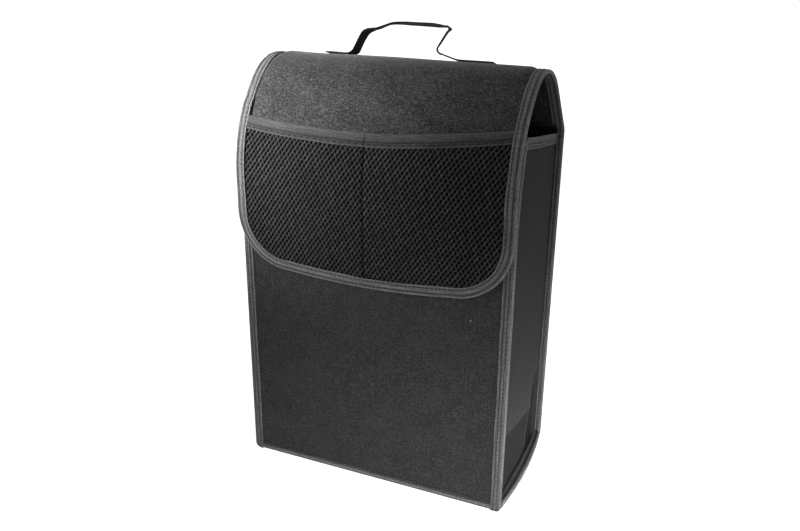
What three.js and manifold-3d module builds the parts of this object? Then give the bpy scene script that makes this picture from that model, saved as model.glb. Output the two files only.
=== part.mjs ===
// Upright felt bag for a car boot, with an arched flap, two mesh pockets and a webbing handle.
// Millimetres, +Z up. The front faces -Y, and the origin lies on the floor under the middle of the bag.
import * as THREE from 'three';
import Module from 'manifold-3d';
import { mergeGeometries, mergeVertices } from 'three/addons/utils/BufferGeometryUtils.js';

// Box of the bag, measured over the edge tapes
const WIDTH = 300;
const DEPTH = 170;
const BACK_HEIGHT = 374;
const FRONT_ABOVE_BACK = 12;
const SIDE_BELOW_BACK = 7;
const HEM_CLEARANCE = 1.1;
const LEAN_LENGTH = 96;
const FLANGE = 8;

// Thickness of each layer, and the clearance between layers that are sewn together
const FELT = 1.8;
const SIDE_FELT = 1.4;
const BOARD = 1.6;
const LINING = 0.6;
const MESH = 1.2;
const TAPE = 0.8;
const TAPE_WIDTH = 11;
const PLY_GAP = 0.3;
const BEND_RADIUS = 2;
const FOLD_GAP = 0.42;

// Flap: a straight rise from the hinge, the crown's arc, a wider arc over the front, a straight drop
const RISE_ANGLE = THREE.MathUtils.degToRad(46.5);
const CROWN_ABOVE_HINGE = 68;
const CROWN_RADIUS = 62;
const SHOULDER_ANGLE = THREE.MathUtils.degToRad(42);
const FLAP_CLEARANCE = 1.5;
const FLAP_EDGE_BELOW_HINGE = 148;
const FLAP_CORNER = 60;
const FLAP_BOW = 5;
const CORNER_ROWS = 8;
const FLAP_STEP = 9;

// Mesh pockets on the flap
const POCKET_DEPTH = 153;
const HEM_SAG = 11;
const POCKET_SLACK = 3;
const POCKET_MARGIN = 4;
const MESH_COLUMNS = 16;
const MESH_STEP = 12.5;
const MOUTH_ROWS = 3;
const HEM_ROLL = Math.PI / 12;
const HOLE_PITCH_X = 17;
const HOLE_PITCH_S = 14.5;
const HOLE_WIDTH = 9;
const HOLE_HEIGHT = 9.5;
const HOLE_CLEARANCE = 1.8;
const HOLE_SIDES = 6;

// Handle: webbing sewn flat behind the crown at both ends
const WEBBING = 1.4;
const WEBBING_WIDTH = 16;
const HANDLE_BEHIND_CROWN = 14;
const HANDLE_TAB = 26;
const HANDLE_SPAN = 118;
const HANDLE_RISE = 40;
const HANDLE_BEND = 6;
const ROWS_PER_STRETCH = 4;

// Line of the handle's loop: shares of half the span and of the rise, and the webbing's twist in degrees
const HANDLE_LINE = [
  [-1, 0.02, 0], [-0.96, 0.2, -55], [-0.86, 0.7, -60], [-0.55, 0.88, -20], [0, 1, 4], [0.56, 0.96, 6],
  [0.76, 0.88, 0], [0.64, 0.6, 0], [0.52, 0.4, 0], [0.6, 0.25, 0], [0.85, 0.13, 0], [1, 0.02, 0],
];

// Hook and loop: two pairs close the flap, and two strips on the back grip the boot's carpet
const LOOP_THICKNESS = 1.2;
const PATCH_WIDTH = 50;
const PATCH_HEIGHT = 25;
const PATCH_FROM_SIDE = 40;
const PATCH_ABOVE_EDGE = 24;
const STRIP_THICKNESS = 1.1;
const STRIP_WIDTH = 40;
const STRIP_HEIGHT = 200;
const STRIP_FROM_SIDE = 35;
const STRIP_FROM_FOOT = 90;

// Crease of the soft side walls: a ridge that stands up from the foot and then leans back to the back
// seam, with a broad slope in front of it, a short one behind it and a hollow behind that
const CREASE_OUT = 4.5;
const CREASE_IN = 2.5;
const CREASE_LOW = 12;
const CREASE_FULL_LOW = 30;
const CREASE_FULL_HIGH = 60;
const CREASE_HIGH = 120;
const CREASE_Y = 36;
const CREASE_UPRIGHT = 53;
const CREASE_LEAN = 0.7;
const SLOPE_BEFORE = 34;
const SLOPE_BEHIND = 9;
const HOLLOW_BEHIND = 22;
const HOLLOW_WIDTH = 12;

// Side walls lie flat in this band beside their flanges
const CALM_START = 20;
const CALM_END = 6;
const WALL_STEP = 15;
const CREASE_STEP = 13;
const LEAN_STEP = 16;
const FOOT_TAPE_HEIGHT = 8;
const CORNER_SLACK = 0.1;

const frontHeight = BACK_HEIGHT + FRONT_ABOVE_BACK;
const sideBackHeight = BACK_HEIGHT - SIDE_BELOW_BACK;
const leanStart = frontHeight - LEAN_LENGTH;
const flapEdgeHeight = BACK_HEIGHT - FLAP_EDGE_BELOW_HINGE;
const halfWidth = WIDTH / 2;
const frontFace = -DEPTH / 2;
const backFace = DEPTH / 2;
const { clamp, lerp, smoothstep } = THREE.MathUtils;

// Every solid here is a warped slab: a grid of points on its back face and one on its front face,
// at(i, j, face), joined round the rim.
function slab(columns, rows, at) {
  const layer = (columns + 1) * (rows + 1);
  const positions = [];
  for (const face of [0, 1]) {
    for (let j = 0; j <= rows; j++) {
      for (let i = 0; i <= columns; i++) positions.push(...at(i, j, face));
    }
  }
  const index = [];
  const quad = (a, b, c, d) => index.push(a, b, c, a, c, d);
  const id = (i, j, face) => face * layer + j * (columns + 1) + i;
  for (let j = 0; j < rows; j++) {
    for (let i = 0; i < columns; i++) {
      quad(id(i, j, 1), id(i + 1, j, 1), id(i + 1, j + 1, 1), id(i, j + 1, 1));
      quad(id(i, j, 0), id(i, j + 1, 0), id(i + 1, j + 1, 0), id(i + 1, j, 0));
    }
  }
  for (let i = 0; i < columns; i++) {
    quad(id(i, 0, 0), id(i + 1, 0, 0), id(i + 1, 0, 1), id(i, 0, 1));
    quad(id(i, rows, 1), id(i + 1, rows, 1), id(i + 1, rows, 0), id(i, rows, 0));
  }
  for (let j = 0; j < rows; j++) {
    quad(id(0, j, 1), id(0, j + 1, 1), id(0, j + 1, 0), id(0, j, 0));
    quad(id(columns, j, 0), id(columns, j + 1, 0), id(columns, j + 1, 1), id(columns, j, 1));
  }
  const geometry = new THREE.BufferGeometry();
  geometry.setAttribute('position', new THREE.Float32BufferAttribute(positions, 3));
  geometry.setIndex(index);
  return facingOut(geometry);
}

// Turns every face round if the solid came out inside out.
function facingOut(geometry) {
  const index = geometry.index.array;
  const [a, b, c] = [new THREE.Vector3(), new THREE.Vector3(), new THREE.Vector3()];
  let volume = 0;
  for (let k = 0; k < index.length; k += 3) {
    a.fromBufferAttribute(geometry.attributes.position, index[k]);
    b.fromBufferAttribute(geometry.attributes.position, index[k + 1]);
    c.fromBufferAttribute(geometry.attributes.position, index[k + 2]);
    volume += a.dot(b.cross(c));
  }
  if (volume < 0) {
    for (let k = 0; k < index.length; k += 3) [index[k], index[k + 1]] = [index[k + 1], index[k]];
  }
  geometry.computeVertexNormals();
  return geometry;
}

// Solids for cutting one shape with another
const wasm = await Module();
wasm.setup();

function toSolid(geometry) {
  const bare = geometry.clone();
  bare.deleteAttribute('normal');
  bare.deleteAttribute('uv');
  const merged = mergeVertices(bare, 1e-4);
  const triVerts = Uint32Array.from(merged.index.array);
  const vertProperties = Float32Array.from(merged.attributes.position.array);
  return new wasm.Manifold(new wasm.Mesh({ numProp: 3, vertProperties, triVerts }));
}

function fromSolid(solid) {
  const mesh = solid.getMesh();
  const geometry = new THREE.BufferGeometry();
  geometry.setAttribute('position', new THREE.BufferAttribute(mesh.vertProperties, 3));
  geometry.setIndex(new THREE.BufferAttribute(mesh.triVerts, 1));
  geometry.computeVertexNormals();
  return geometry;
}

// Evenly spaced values from a to b, no further apart than step.
function spread(a, b, step) {
  const count = Math.max(1, Math.ceil(Math.abs(b - a) / step));
  return Array.from({ length: count + 1 }, (_, k) => lerp(a, b, k / count));
}

// Moves an open line of [p, q] points sideways, to its left, with mitred corners.
function offsetLine(points, distance) {
  const normal = (k) => {
    const [p, q] = [points[k][0], points[k][1]];
    const [dp, dq] = [points[k + 1][0] - p, points[k + 1][1] - q];
    const length = Math.hypot(dp, dq);
    return [-dq / length, dp / length];
  };
  return points.map(([p, q], k) => {
    const before = normal(Math.max(0, k - 1));
    const after = normal(Math.min(points.length - 2, k));
    const sum = [before[0] + after[0], before[1] + after[1]];
    const scale = (2 * distance) / (sum[0] ** 2 + sum[1] ** 2);
    return [p + sum[0] * scale, q + sum[1] * scale];
  });
}

// Tape folded over an edge. Its section is a list of [across, through] points: across runs from the
// fold inwards over the layers, and through from the middle of the layers' thickness.
const FOLD_SEGMENTS = 4;
const foldRadius = (stack) => stack / 2 + PLY_GAP;
const tapedHalf = (stack) => foldRadius(stack) + TAPE;

// How far inside the fold's outermost line the edge of the folded-in layers lies: their corners
// stay just inside the flats of the fold's faceted inner face.
const FOLD_ROOM = 0.97;
function foldInset(stack) {
  const flats = FOLD_ROOM * foldRadius(stack) * Math.cos(Math.PI / (2 * FOLD_SEGMENTS));
  return tapedHalf(stack) - Math.sqrt(flats ** 2 - (stack / 2) ** 2);
}

function foldedTape(stack, backReach, frontReach, face) {
  const radius = foldRadius(stack) + face * TAPE;
  const centre = tapedHalf(stack);
  const section = [[backReach, -radius]];
  for (let k = 0; k <= FOLD_SEGMENTS; k++) {
    const angle = Math.PI * (k / FOLD_SEGMENTS - 0.5);
    section.push([centre - radius * Math.cos(angle), radius * Math.sin(angle)]);
  }
  section.push([frontReach, radius]);
  return section;
}

// Body panels. All seams of the box fold the same stack: a panel's felt and a side wall's flange.
const seamStack = FELT + PLY_GAP + SIDE_FELT;
const seamInset = foldInset(seamStack);
const wallMid = halfWidth - FLANGE - SIDE_FELT / 2;
const flangeReach = FLANGE - BEND_RADIUS / 2;
const panelInset = TAPE + PLY_GAP;
const hemStack = FELT + PLY_GAP + BOARD + PLY_GAP + LINING;
const seamHalf = tapedHalf(seamStack);
const insideX = wallMid - SIDE_FELT / 2 - PLY_GAP;
const betweenTapes = halfWidth - TAPE_WIDTH - PLY_GAP;
const betweenSeams = backFace - 2 * seamHalf - PLY_GAP;

// The front panel leans in under the flap above leanStart, as far as the flap's arc does at its top.
const lean = (z) => frontLean * Math.max(0, (z - leanStart) / LEAN_LENGTH) ** 2;
const frontHeights = (low, high) => [low, ...spread(leanStart, high, LEAN_STEP)];

// An upright layer of the front panel, depth behind the front face.
function frontLayer(halfX, low, high, depth, thickness) {
  const heights = frontHeights(low, high);
  return slab(1, heights.length - 1, (i, j, face) => {
    const z = heights[j];
    return [halfX * (2 * i - 1), frontFace + lean(z) + depth + face * thickness, z];
  });
}

// The hinge is a fold, so the layers on both sides of it end beside the plane that halves its angle.
const hingeSetback = (depth) => depth * Math.tan((Math.PI / 2 - RISE_ANGLE) / 2) + FOLD_GAP / 2;

// An upright layer of the back panel, depth in front of the back face, with its top mitred.
function backLayer(halfX, low, depth, thickness) {
  return slab(1, 1, (i, j, face) => {
    const inside = depth + face * thickness;
    const z = j === 0 ? low : BACK_HEIGHT - hingeSetback(inside);
    return [halfX * (2 * i - 1), backFace - inside, z];
  });
}

function box(low, high) {
  const size = high.map((value, k) => value - low[k]);
  const geometry = new THREE.BoxGeometry(...size);
  return geometry.translate(...low.map((value, k) => value + size[k] / 2));
}

// Bottom felt with its corners notched round the upright seams.
const bottomLow = TAPE + PLY_GAP;
const bottomHigh = bottomLow + FELT;
function bottomFelt() {
  const outer = halfWidth - seamInset;
  const ends = backFace - panelInset - FELT - PLY_GAP;
  const corner = [[betweenTapes, ends], [betweenTapes, betweenSeams], [outer, betweenSeams]];
  const turned = ([x, y]) => [-x, -y];
  const mirrored = corner.map(([x, y]) => [x, -y]).reverse();
  const outline = [...corner, ...mirrored, ...corner.map(turned), ...mirrored.map(turned)];
  const shape = new THREE.Shape(outline.map(([x, y]) => new THREE.Vector2(x, y)));
  const geometry = new THREE.ExtrudeGeometry(shape, { depth: FELT, bevelEnabled: false });
  return geometry.translate(0, 0, bottomLow);
}

// Side walls. The line of a wall seen from above: front flange, bend, wall, bend, back flange.
const sideTop = (y) => lerp(frontHeight, sideBackHeight, clamp((y - frontFace) / DEPTH, 0, 1));
const flangeY = backFace - panelInset - FELT - PLY_GAP - SIDE_FELT / 2;
const pull = (y, z) => lean(z) * clamp(-y / (flangeY - SIDE_FELT), 0, 1);

function sidePlan(step) {
  const tip = halfWidth - seamInset;
  const bend = [];
  for (const angle of spread(0, Math.PI / 2, Math.PI / 6)) {
    bend.push([wallMid + BEND_RADIUS * (1 - Math.sin(angle)), flangeY - BEND_RADIUS * (1 - Math.cos(angle))]);
  }
  const wall = spread(-flangeY + BEND_RADIUS, flangeY - BEND_RADIUS, step).slice(1, -1);
  const back = [[tip, flangeY], ...bend];
  const front = back.map(([x, y]) => [x, -y]);
  return [...front, ...wall.map((y) => [wallMid, y]), ...back.reverse()];
}

// 1 over most of the side wall, and 0 where it lies flat beside its flanges.
const calm = (y) => 1 - smoothstep(Math.abs(y), flangeY - CALM_START, flangeY - CALM_END);

// How far a point of the side wall stands out of plane.
function crease(y, z) {
  const risen = smoothstep(z, CREASE_LOW, CREASE_FULL_LOW);
  const faded = smoothstep(z, CREASE_FULL_HIGH, CREASE_HIGH);
  const away = y - CREASE_Y - CREASE_LEAN * Math.max(0, z - CREASE_UPRIGHT);
  const slope = Math.exp(-((away / (away < 0 ? SLOPE_BEFORE : SLOPE_BEHIND)) ** 2));
  const hollow = Math.exp(-(((away - HOLLOW_BEHIND) / HOLLOW_WIDTH) ** 2));
  return (CREASE_OUT * slope - CREASE_IN * hollow) * risen * (1 - faded) * calm(y);
}

// The foot of a side wall turns outwards over the bottom felt, from the wall's line to the seam.
const footZ = bottomHigh + PLY_GAP + SIDE_FELT / 2;
const footBend = spread(0, Math.PI / 2, Math.PI / 4).map(
  (angle) => [BEND_RADIUS * (1 - Math.sin(angle)), BEND_RADIUS * (1 - Math.cos(angle))]);
const footPath = [[halfWidth - seamInset - wallMid, 0], ...footBend];

function sideWall(side) {
  const plan = sidePlan(WALL_STEP);
  const faces = [offsetLine(plan, -SIDE_FELT / 2), offsetLine(plan, SIDE_FELT / 2)];
  const footFaces = [offsetLine(footPath, SIDE_FELT / 2), offsetLine(footPath, -SIDE_FELT / 2)];
  const wallFoot = footZ + BEND_RADIUS;
  const upper = frontHeights((CREASE_HIGH + leanStart) / 2, frontHeight);
  const heights = [...spread(wallFoot, CREASE_HIGH, CREASE_STEP), ...upper];
  const rows = footPath.length - 1 + heights.length - 1;
  return slab(plan.length - 1, rows, (i, j, face) => {
    const [planX, y] = faces[face][i];
    if (j < footPath.length) {
      const turned = calm(plan[i][1]);
      const [footX, footUp] = footFaces[face][j];
      const straightUp = BEND_RADIUS * (j / (footPath.length - 1));
      const x = lerp(planX, wallMid + footX, turned);
      return [side * x, y, footZ + lerp(straightUp, footUp, turned)];
    }
    const top = sideTop(y) - foldInset(SIDE_FELT);
    const height = heights[j - footPath.length + 1];
    const z = lerp(wallFoot, top, (height - wallFoot) / (frontHeight - wallFoot));
    return [side * (planX + crease(y, z)), y + pull(y, z), z];
  });
}

// Edge tapes of the body
function frontSeamTape(side) {
  const faces = [0, 1].map((face) => foldedTape(seamStack, flangeReach, TAPE_WIDTH, face));
  const heights = frontHeights(0, frontHeight);
  return slab(faces[0].length - 1, heights.length - 1, (i, j, face) => {
    const [across, through] = faces[face][i];
    const z = heights[j];
    return [side * (halfWidth - across), frontFace + lean(z) + seamHalf - through, z];
  });
}

function backSeamTape(side) {
  const faces = [0, 1].map((face) => foldedTape(seamStack, flangeReach, TAPE_WIDTH, face));
  return slab(faces[0].length - 1, 1, (i, j, face) => {
    const [across, through] = faces[face][i];
    const z = j === 0 ? 0 : BACK_HEIGHT - hingeSetback(seamHalf - through);
    return [side * (halfWidth - across), backFace - seamHalf + through, z];
  });
}

function sideFootTape(side) {
  const faces = [0, 1].map((face) => foldedTape(seamStack, TAPE_WIDTH, flangeReach, face));
  return slab(faces[0].length - 1, 1, (i, j, face) => {
    const [across, through] = faces[face][i];
    return [side * (halfWidth - across), betweenSeams * (2 * j - 1), seamHalf + through];
  });
}

// The tape along the front or back foot wraps the corner of the box. way is -1 for the front.
function endFootTape(way) {
  const radius = panelInset + CORNER_SLACK;
  const bend = spread(0, Math.PI / 2, Math.PI / 6).map(
    (angle) => [backFace - radius * (1 - Math.cos(angle)), radius * (1 - Math.sin(angle))]);
  const outer = [[backFace, FOOT_TAPE_HEIGHT], ...bend, [backFace - TAPE_WIDTH, 0]];
  const faces = [offsetLine(outer, -TAPE), outer];
  return slab(1, outer.length - 1, (i, j, face) => {
    const [y, z] = faces[face][j];
    return [betweenTapes * (2 * i - 1), way * y, z];
  });
}

function sideHem(side) {
  const faces = [0, 1].map((face) => foldedTape(SIDE_FELT, TAPE_WIDTH, TAPE_WIDTH, face));
  const stations = spread(-betweenSeams, betweenSeams, WALL_STEP);
  return slab(faces[0].length - 1, stations.length - 1, (i, j, face) => {
    const [across, through] = faces[face][i];
    const y = stations[j];
    const z = sideTop(y) - across;
    return [side * (wallMid + through), y + pull(y, z), z];
  });
}

function frontHem() {
  const faces = [0, 1].map((face) => foldedTape(hemStack, TAPE_WIDTH, TAPE_WIDTH, face));
  return slab(faces[0].length - 1, 1, (i, j, face) => {
    const [across, through] = faces[face][i];
    const z = frontHeight - across;
    return [betweenTapes * (2 * j - 1), frontFace + lean(z) + tapedHalf(hemStack) - through, z];
  });
}

// Flap. Its profile is the line of the edge tape's outer face, by distance s from the hinge.
const flapStack = MESH + PLY_GAP + FELT;
const flapFront = frontFace - FLAP_CLEARANCE - 2 * tapedHalf(flapStack);
const arcRise = CROWN_RADIUS * (1 - Math.cos(RISE_ANGLE));
const riseLength = (CROWN_ABOVE_HINGE - arcRise) / Math.sin(RISE_ANGLE);
const crownStartY = backFace - riseLength * Math.cos(RISE_ANGLE);
const crownY = crownStartY - CROWN_RADIUS * Math.sin(RISE_ANGLE);
const crownZ = BACK_HEIGHT + CROWN_ABOVE_HINGE - CROWN_RADIUS;
const shoulderY = crownY - CROWN_RADIUS * Math.sin(SHOULDER_ANGLE);
const shoulderZ = crownZ + CROWN_RADIUS * Math.cos(SHOULDER_ANGLE);
const frontRadius = (shoulderY - flapFront) / (1 - Math.sin(SHOULDER_ANGLE));
const frontY = flapFront + frontRadius;
const frontZ = shoulderZ - frontRadius * Math.cos(SHOULDER_ANGLE);
const crownEnd = riseLength + CROWN_RADIUS * (RISE_ANGLE + SHOULDER_ANGLE);
const dropStart = crownEnd + frontRadius * (Math.PI / 2 - SHOULDER_ANGLE);
const flapLength = dropStart + frontZ - flapEdgeHeight;
const crownS = riseLength + CROWN_RADIUS * RISE_ANGLE;
const frontLean = HEM_CLEARANCE + frontRadius - Math.sqrt(frontRadius ** 2 - (frontHeight - frontZ) ** 2);

function flapPoint(x, s, depth) {
  let [y, z, heading] = [0, 0, RISE_ANGLE];
  if (s < riseLength) {
    y = backFace - s * Math.cos(RISE_ANGLE);
    z = BACK_HEIGHT + s * Math.sin(RISE_ANGLE);
  } else if (s < crownEnd) {
    heading = RISE_ANGLE - (s - riseLength) / CROWN_RADIUS;
    y = crownY + CROWN_RADIUS * Math.sin(heading);
    z = crownZ + CROWN_RADIUS * Math.cos(heading);
  } else if (s < dropStart) {
    heading = -SHOULDER_ANGLE - (s - crownEnd) / frontRadius;
    y = frontY + frontRadius * Math.sin(heading);
    z = frontZ + frontRadius * Math.cos(heading);
  } else {
    heading = -Math.PI / 2;
    y = flapFront;
    z = frontZ - (s - dropStart);
  }
  return [x, y - depth * Math.sin(heading), z - depth * Math.cos(heading)];
}

// Flat pattern of the flap: row j of the cut, inset from its outermost line, as half its width, the
// distance s at its ends, and how much further its middle reaches.
const cornerStart = flapLength - FLAP_BOW - FLAP_CORNER;
function flapRows(inset, start, step = FLAP_STEP) {
  const half = halfWidth - inset;
  const corner = FLAP_CORNER - inset;
  const curved = [...spread(riseLength, crownEnd, step), ...spread(crownEnd, dropStart, step).slice(1)];
  const between = curved.filter((s) => s > start + step / 2 && s < cornerStart);
  const rows = [start, ...between, cornerStart].map((s) => ({ half, s, bow: 0 }));
  for (let k = 1; k <= CORNER_ROWS; k++) {
    const angle = (Math.PI / 2) * (k / CORNER_ROWS);
    rows.push({
      half: half - corner * (1 - Math.cos(angle)),
      s: cornerStart + corner * Math.sin(angle),
      bow: FLAP_BOW * Math.sin(angle) ** 2,
    });
  }
  return rows;
}

const feltDepth = TAPE + PLY_GAP + MESH + PLY_GAP;
function flapFelt() {
  const rows = flapRows(foldInset(flapStack), 0);
  const columns = 4;
  return slab(columns, rows.length - 1, (i, j, face) => {
    const depth = feltDepth + face * FELT;
    const across = (2 * i) / columns - 1;
    const s = rows[j].s + rows[j].bow * (1 - across ** 2);
    return flapPoint(rows[j].half * across, j === 0 ? hingeSetback(depth) : s, depth);
  });
}

// The pocket hem hangs in a shallow curve between the flap's edges.
const hemS = (x) => flapLength - POCKET_DEPTH - HEM_SAG * (x / halfWidth) ** 2;

// The flap's edge tape runs down one side, along the lower edge and up the other side. Where the
// pockets' mesh lies under it, its fold is thicker by the mesh, from one row before the mesh on.
function flapTape() {
  const rows = flapRows(0, 0);
  const last = rows[rows.length - 1];
  const middle = spread(-1, 1, 0.2).slice(1, -1).map(
    (across) => [last.half * across, last.s + last.bow * (1 - across ** 2)]);
  const left = rows.map(({ half, s }) => [-half, s]);
  const outline = [...left, ...middle, ...left.map(([x, s]) => [-x, s]).reverse()];
  const inwards = offsetLine(outline, -1);
  const meshStart = hemS(halfWidth);
  const full = meshStart - FLAP_STEP;
  const meshThickness = (s) => (MESH + PLY_GAP) * smoothstep(s, full - FLAP_STEP, full);
  const innerFace = feltDepth + FELT + PLY_GAP + TAPE;
  const columns = foldedTape(FELT, TAPE_WIDTH, TAPE_WIDTH, 0).length - 1;
  const ends = [0, outline.length - 1];
  return slab(columns, outline.length - 1, (i, j, face) => {
    const [x, s] = outline[j];
    const stack = FELT + meshThickness(s);
    const [across, through] = foldedTape(stack, TAPE_WIDTH, TAPE_WIDTH, face)[i];
    const depth = innerFace - tapedHalf(stack) - through;
    const along = ends.includes(j) ? hingeSetback(depth) : s + (inwards[j][1] - s) * across;
    return flapPoint(x + (inwards[j][0] - x) * across, along, depth);
  });
}

// Pocket mesh: one piece for both pockets, cut flat with staggered holes and then laid on the flap.
// Each pocket stands a little off the felt at its mouth, and the seam between them is sewn down.
function pocketLift(x, s) {
  const clear = halfWidth - TAPE_WIDTH - POCKET_MARGIN;
  const swell = Math.sin(Math.PI * clamp(Math.abs(x) / clear, 0, 1)) ** 2;
  const down = clamp((s - hemS(x)) / POCKET_DEPTH, 0, 1);
  return POCKET_SLACK * swell * (1 - down) ** 2;
}

const meshDepth = TAPE + PLY_GAP;
const hemRoll = foldInset(MESH);

function pocketMesh() {
  const inset = foldInset(flapStack);
  const rows = flapRows(inset, hemS(0), MESH_STEP).slice(1);
  const sheet = slab(MESH_COLUMNS, MOUTH_ROWS + rows.length - 1, (i, j, face) => {
    const across = (2 * i) / MESH_COLUMNS - 1;
    const row = rows[Math.max(0, j - MOUTH_ROWS)];
    const x = row.half * across;
    const below = row.s + row.bow * (1 - across ** 2);
    const s = lerp(hemS(x) + hemRoll, below, Math.min(1, j / MOUTH_ROWS));
    return flapPoint(x, s, meshDepth + face * MESH - pocketLift(x, s));
  });
  const holes = mergeGeometries(holeCentres().map(([x, s]) => hole(x, s)));
  return fromSolid(toSolid(sheet).subtract(toSolid(holes)));
}

// Staggered rows of hole centres, kept clear of the hem, the centre seam and the edge tape.
function holeCentres() {
  const centres = [];
  const firstS = flapLength - POCKET_DEPTH + TAPE_WIDTH + HOLE_HEIGHT;
  const margin = TAPE_WIDTH + HOLE_WIDTH / 2 + HOLE_CLEARANCE;
  for (let row = 0; firstS + row * HOLE_PITCH_S < flapLength - margin; row++) {
    const s = firstS + row * HOLE_PITCH_S;
    const corner = Math.max(0, s - cornerStart);
    const turn = FLAP_CORNER - margin;
    const reach = halfWidth - margin - (turn - Math.sqrt(Math.max(0, turn ** 2 - corner ** 2)));
    const first = row % 2 ? HOLE_PITCH_X : HOLE_PITCH_X / 2;
    for (let x = first; x < reach; x += HOLE_PITCH_X) centres.push([x, s], [-x, s]);
  }
  return centres;
}

// A prism that cuts one hole, square to the flap at (x, s), with a side at the left and right.
function hole(x, s) {
  const cutter = new THREE.CylinderGeometry(1, 1, 6 * MESH, HOLE_SIDES);
  cutter.rotateY(Math.PI / HOLE_SIDES).rotateX(Math.PI / 2).scale(HOLE_WIDTH / 2, HOLE_HEIGHT / 2, 1);
  const mid = meshDepth + MESH / 2 - pocketLift(x, s);
  const [place, deeper, further] = [[x, s, mid], [x, s, mid + 1], [x, s + 1, mid]].map(
    ([p, q, depth]) => new THREE.Vector3(...flapPoint(p, q, depth)));
  const inwards = deeper.sub(place).normalize();
  const along = further.sub(place).normalize();
  const turn = new THREE.Matrix4().makeBasis(along.clone().cross(inwards), along, inwards);
  return cutter.applyMatrix4(turn.setPosition(place));
}

// The pockets' hem lies on the front of the mesh and rolls over its top edge.
function pocketHem() {
  const centre = tapedHalf(MESH);
  const stations = spread(-betweenTapes, betweenTapes, TAPE_WIDTH + 1);
  const angles = spread(-HEM_ROLL, Math.PI / 2, Math.PI / 6);
  const legs = [0.5, 1];
  return slab(angles.length + legs.length - 1, stations.length - 1, (i, j, face) => {
    const radius = foldRadius(MESH) + face * TAPE;
    const x = stations[j];
    const angle = angles[Math.min(i, angles.length - 1)];
    const rolled = centre - radius * Math.cos(angle);
    const s = hemS(x) + (i < angles.length ? rolled : TAPE_WIDTH * legs[i - angles.length]);
    return flapPoint(x, s, meshDepth + MESH / 2 - radius * Math.sin(angle) - pocketLift(x, s));
  });
}

// Handle: a smooth curve through HANDLE_LINE and the flat tabs, in the upright plane of the sewn ends.
function handle() {
  const seatDepth = feltDepth - PLY_GAP - WEBBING / 2;
  const seatS = crownS - HANDLE_BEHIND_CROWN;
  const [, seatY, seatZ] = flapPoint(0, seatS, seatDepth);
  const slope = HANDLE_BEHIND_CROWN / CROWN_RADIUS;
  const halfSpan = HANDLE_SPAN / 2;
  const tabs = [[halfSpan + HANDLE_BEND, 0], [halfSpan + HANDLE_BEND + HANDLE_TAB, 0]];
  const { degToRad } = THREE.MathUtils;
  const station = (x, z, twist) => [new THREE.Vector3(x, seatY, seatZ + z), degToRad(twist)];
  const stations = [
    ...tabs.map(([x, z]) => station(-x, z, 0)).reverse(),
    ...HANDLE_LINE.map(([x, z, twist]) => station(x * halfSpan, z * HANDLE_RISE, twist)),
    ...tabs.map(([x, z]) => station(x, z, 0)),
  ];
  const curve = new THREE.CatmullRomCurve3(stations.map(([place]) => place), false, 'centripetal');
  const rows = (stations.length - 1) * ROWS_PER_STRETCH;
  return slab(1, rows, (i, j, face) => {
    const t = j / rows;
    const k = Math.min(Math.floor(j / ROWS_PER_STRETCH), stations.length - 2);
    const twist = lerp(stations[k][1], stations[k + 1][1], j / ROWS_PER_STRETCH - k);
    const tangent = curve.getTangent(t);
    const width = new THREE.Vector3(0, Math.cos(slope), -Math.sin(slope)).projectOnPlane(tangent).normalize();
    width.applyAxisAngle(tangent, twist);
    const up = tangent.clone().cross(width);
    const place = curve.getPoint(t).addScaledVector(width, WEBBING_WIDTH * (i - 0.5));
    return place.addScaledVector(up, WEBBING * (face - 0.5)).toArray();
  });
}

// Hook and loop patches. side is -1 or 1.
const patchX = (side) => side * (halfWidth - PATCH_FROM_SIDE - PATCH_WIDTH / 2);
const patchLow = flapEdgeHeight + PATCH_ABOVE_EDGE;
const loopFront = frontFace + panelInset - PLY_GAP - LOOP_THICKNESS;
const hookFront = flapFront + feltDepth + FELT + PLY_GAP;

function patch(side, front, back) {
  const x = patchX(side);
  return box([x - PATCH_WIDTH / 2, front, patchLow], [x + PATCH_WIDTH / 2, back, patchLow + PATCH_HEIGHT]);
}

function backStrip(side) {
  const x = side * (halfWidth - STRIP_FROM_SIDE - STRIP_WIDTH / 2);
  const low = backFace - panelInset;
  return box([x - STRIP_WIDTH / 2, low, STRIP_FROM_FOOT],
    [x + STRIP_WIDTH / 2, low + STRIP_THICKNESS, STRIP_FROM_FOOT + STRIP_HEIGHT]);
}

const felt = new THREE.MeshStandardMaterial({ color: 0x2c2d2f, roughness: 0.95, metalness: 0 });
const tape = new THREE.MeshStandardMaterial({ color: 0x3f4041, roughness: 0.85, metalness: 0 });
const net = new THREE.MeshStandardMaterial({ color: 0x242425, roughness: 0.9, metalness: 0 });
const card = new THREE.MeshStandardMaterial({ color: 0x8a7a62, roughness: 0.9, metalness: 0 });
const web = new THREE.MeshStandardMaterial({ color: 0x1c1c1d, roughness: 0.8, metalness: 0 });
const grip = new THREE.MeshStandardMaterial({ color: 0x161617, roughness: 1, metalness: 0 });

const bag = new THREE.Group();
const flap = new THREE.Group();
bag.add(flap);

function add(group, name, geometry, material) {
  const mesh = new THREE.Mesh(geometry, material.clone());
  mesh.name = name;
  group.add(mesh);
}

const boardDepth = panelInset + FELT + PLY_GAP;
const liningDepth = boardDepth + BOARD + PLY_GAP;
const feltHalfX = halfWidth - seamInset;
const boardLow = bottomHigh + PLY_GAP;
const panelTop = frontHeight - foldInset(hemStack);
add(bag, 'front_felt', frontLayer(feltHalfX, bottomLow, panelTop, panelInset, FELT), felt);
add(bag, 'front_board', frontLayer(insideX, boardLow, panelTop, boardDepth, BOARD), card);
add(bag, 'front_lining', frontLayer(insideX, boardLow, panelTop, liningDepth, LINING), felt);
add(bag, 'back_felt', backLayer(feltHalfX, bottomLow, panelInset, FELT), felt);
add(bag, 'back_board', backLayer(insideX, boardLow, boardDepth, BOARD), card);
add(bag, 'back_lining', backLayer(insideX, boardLow, liningDepth, LINING), felt);

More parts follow.
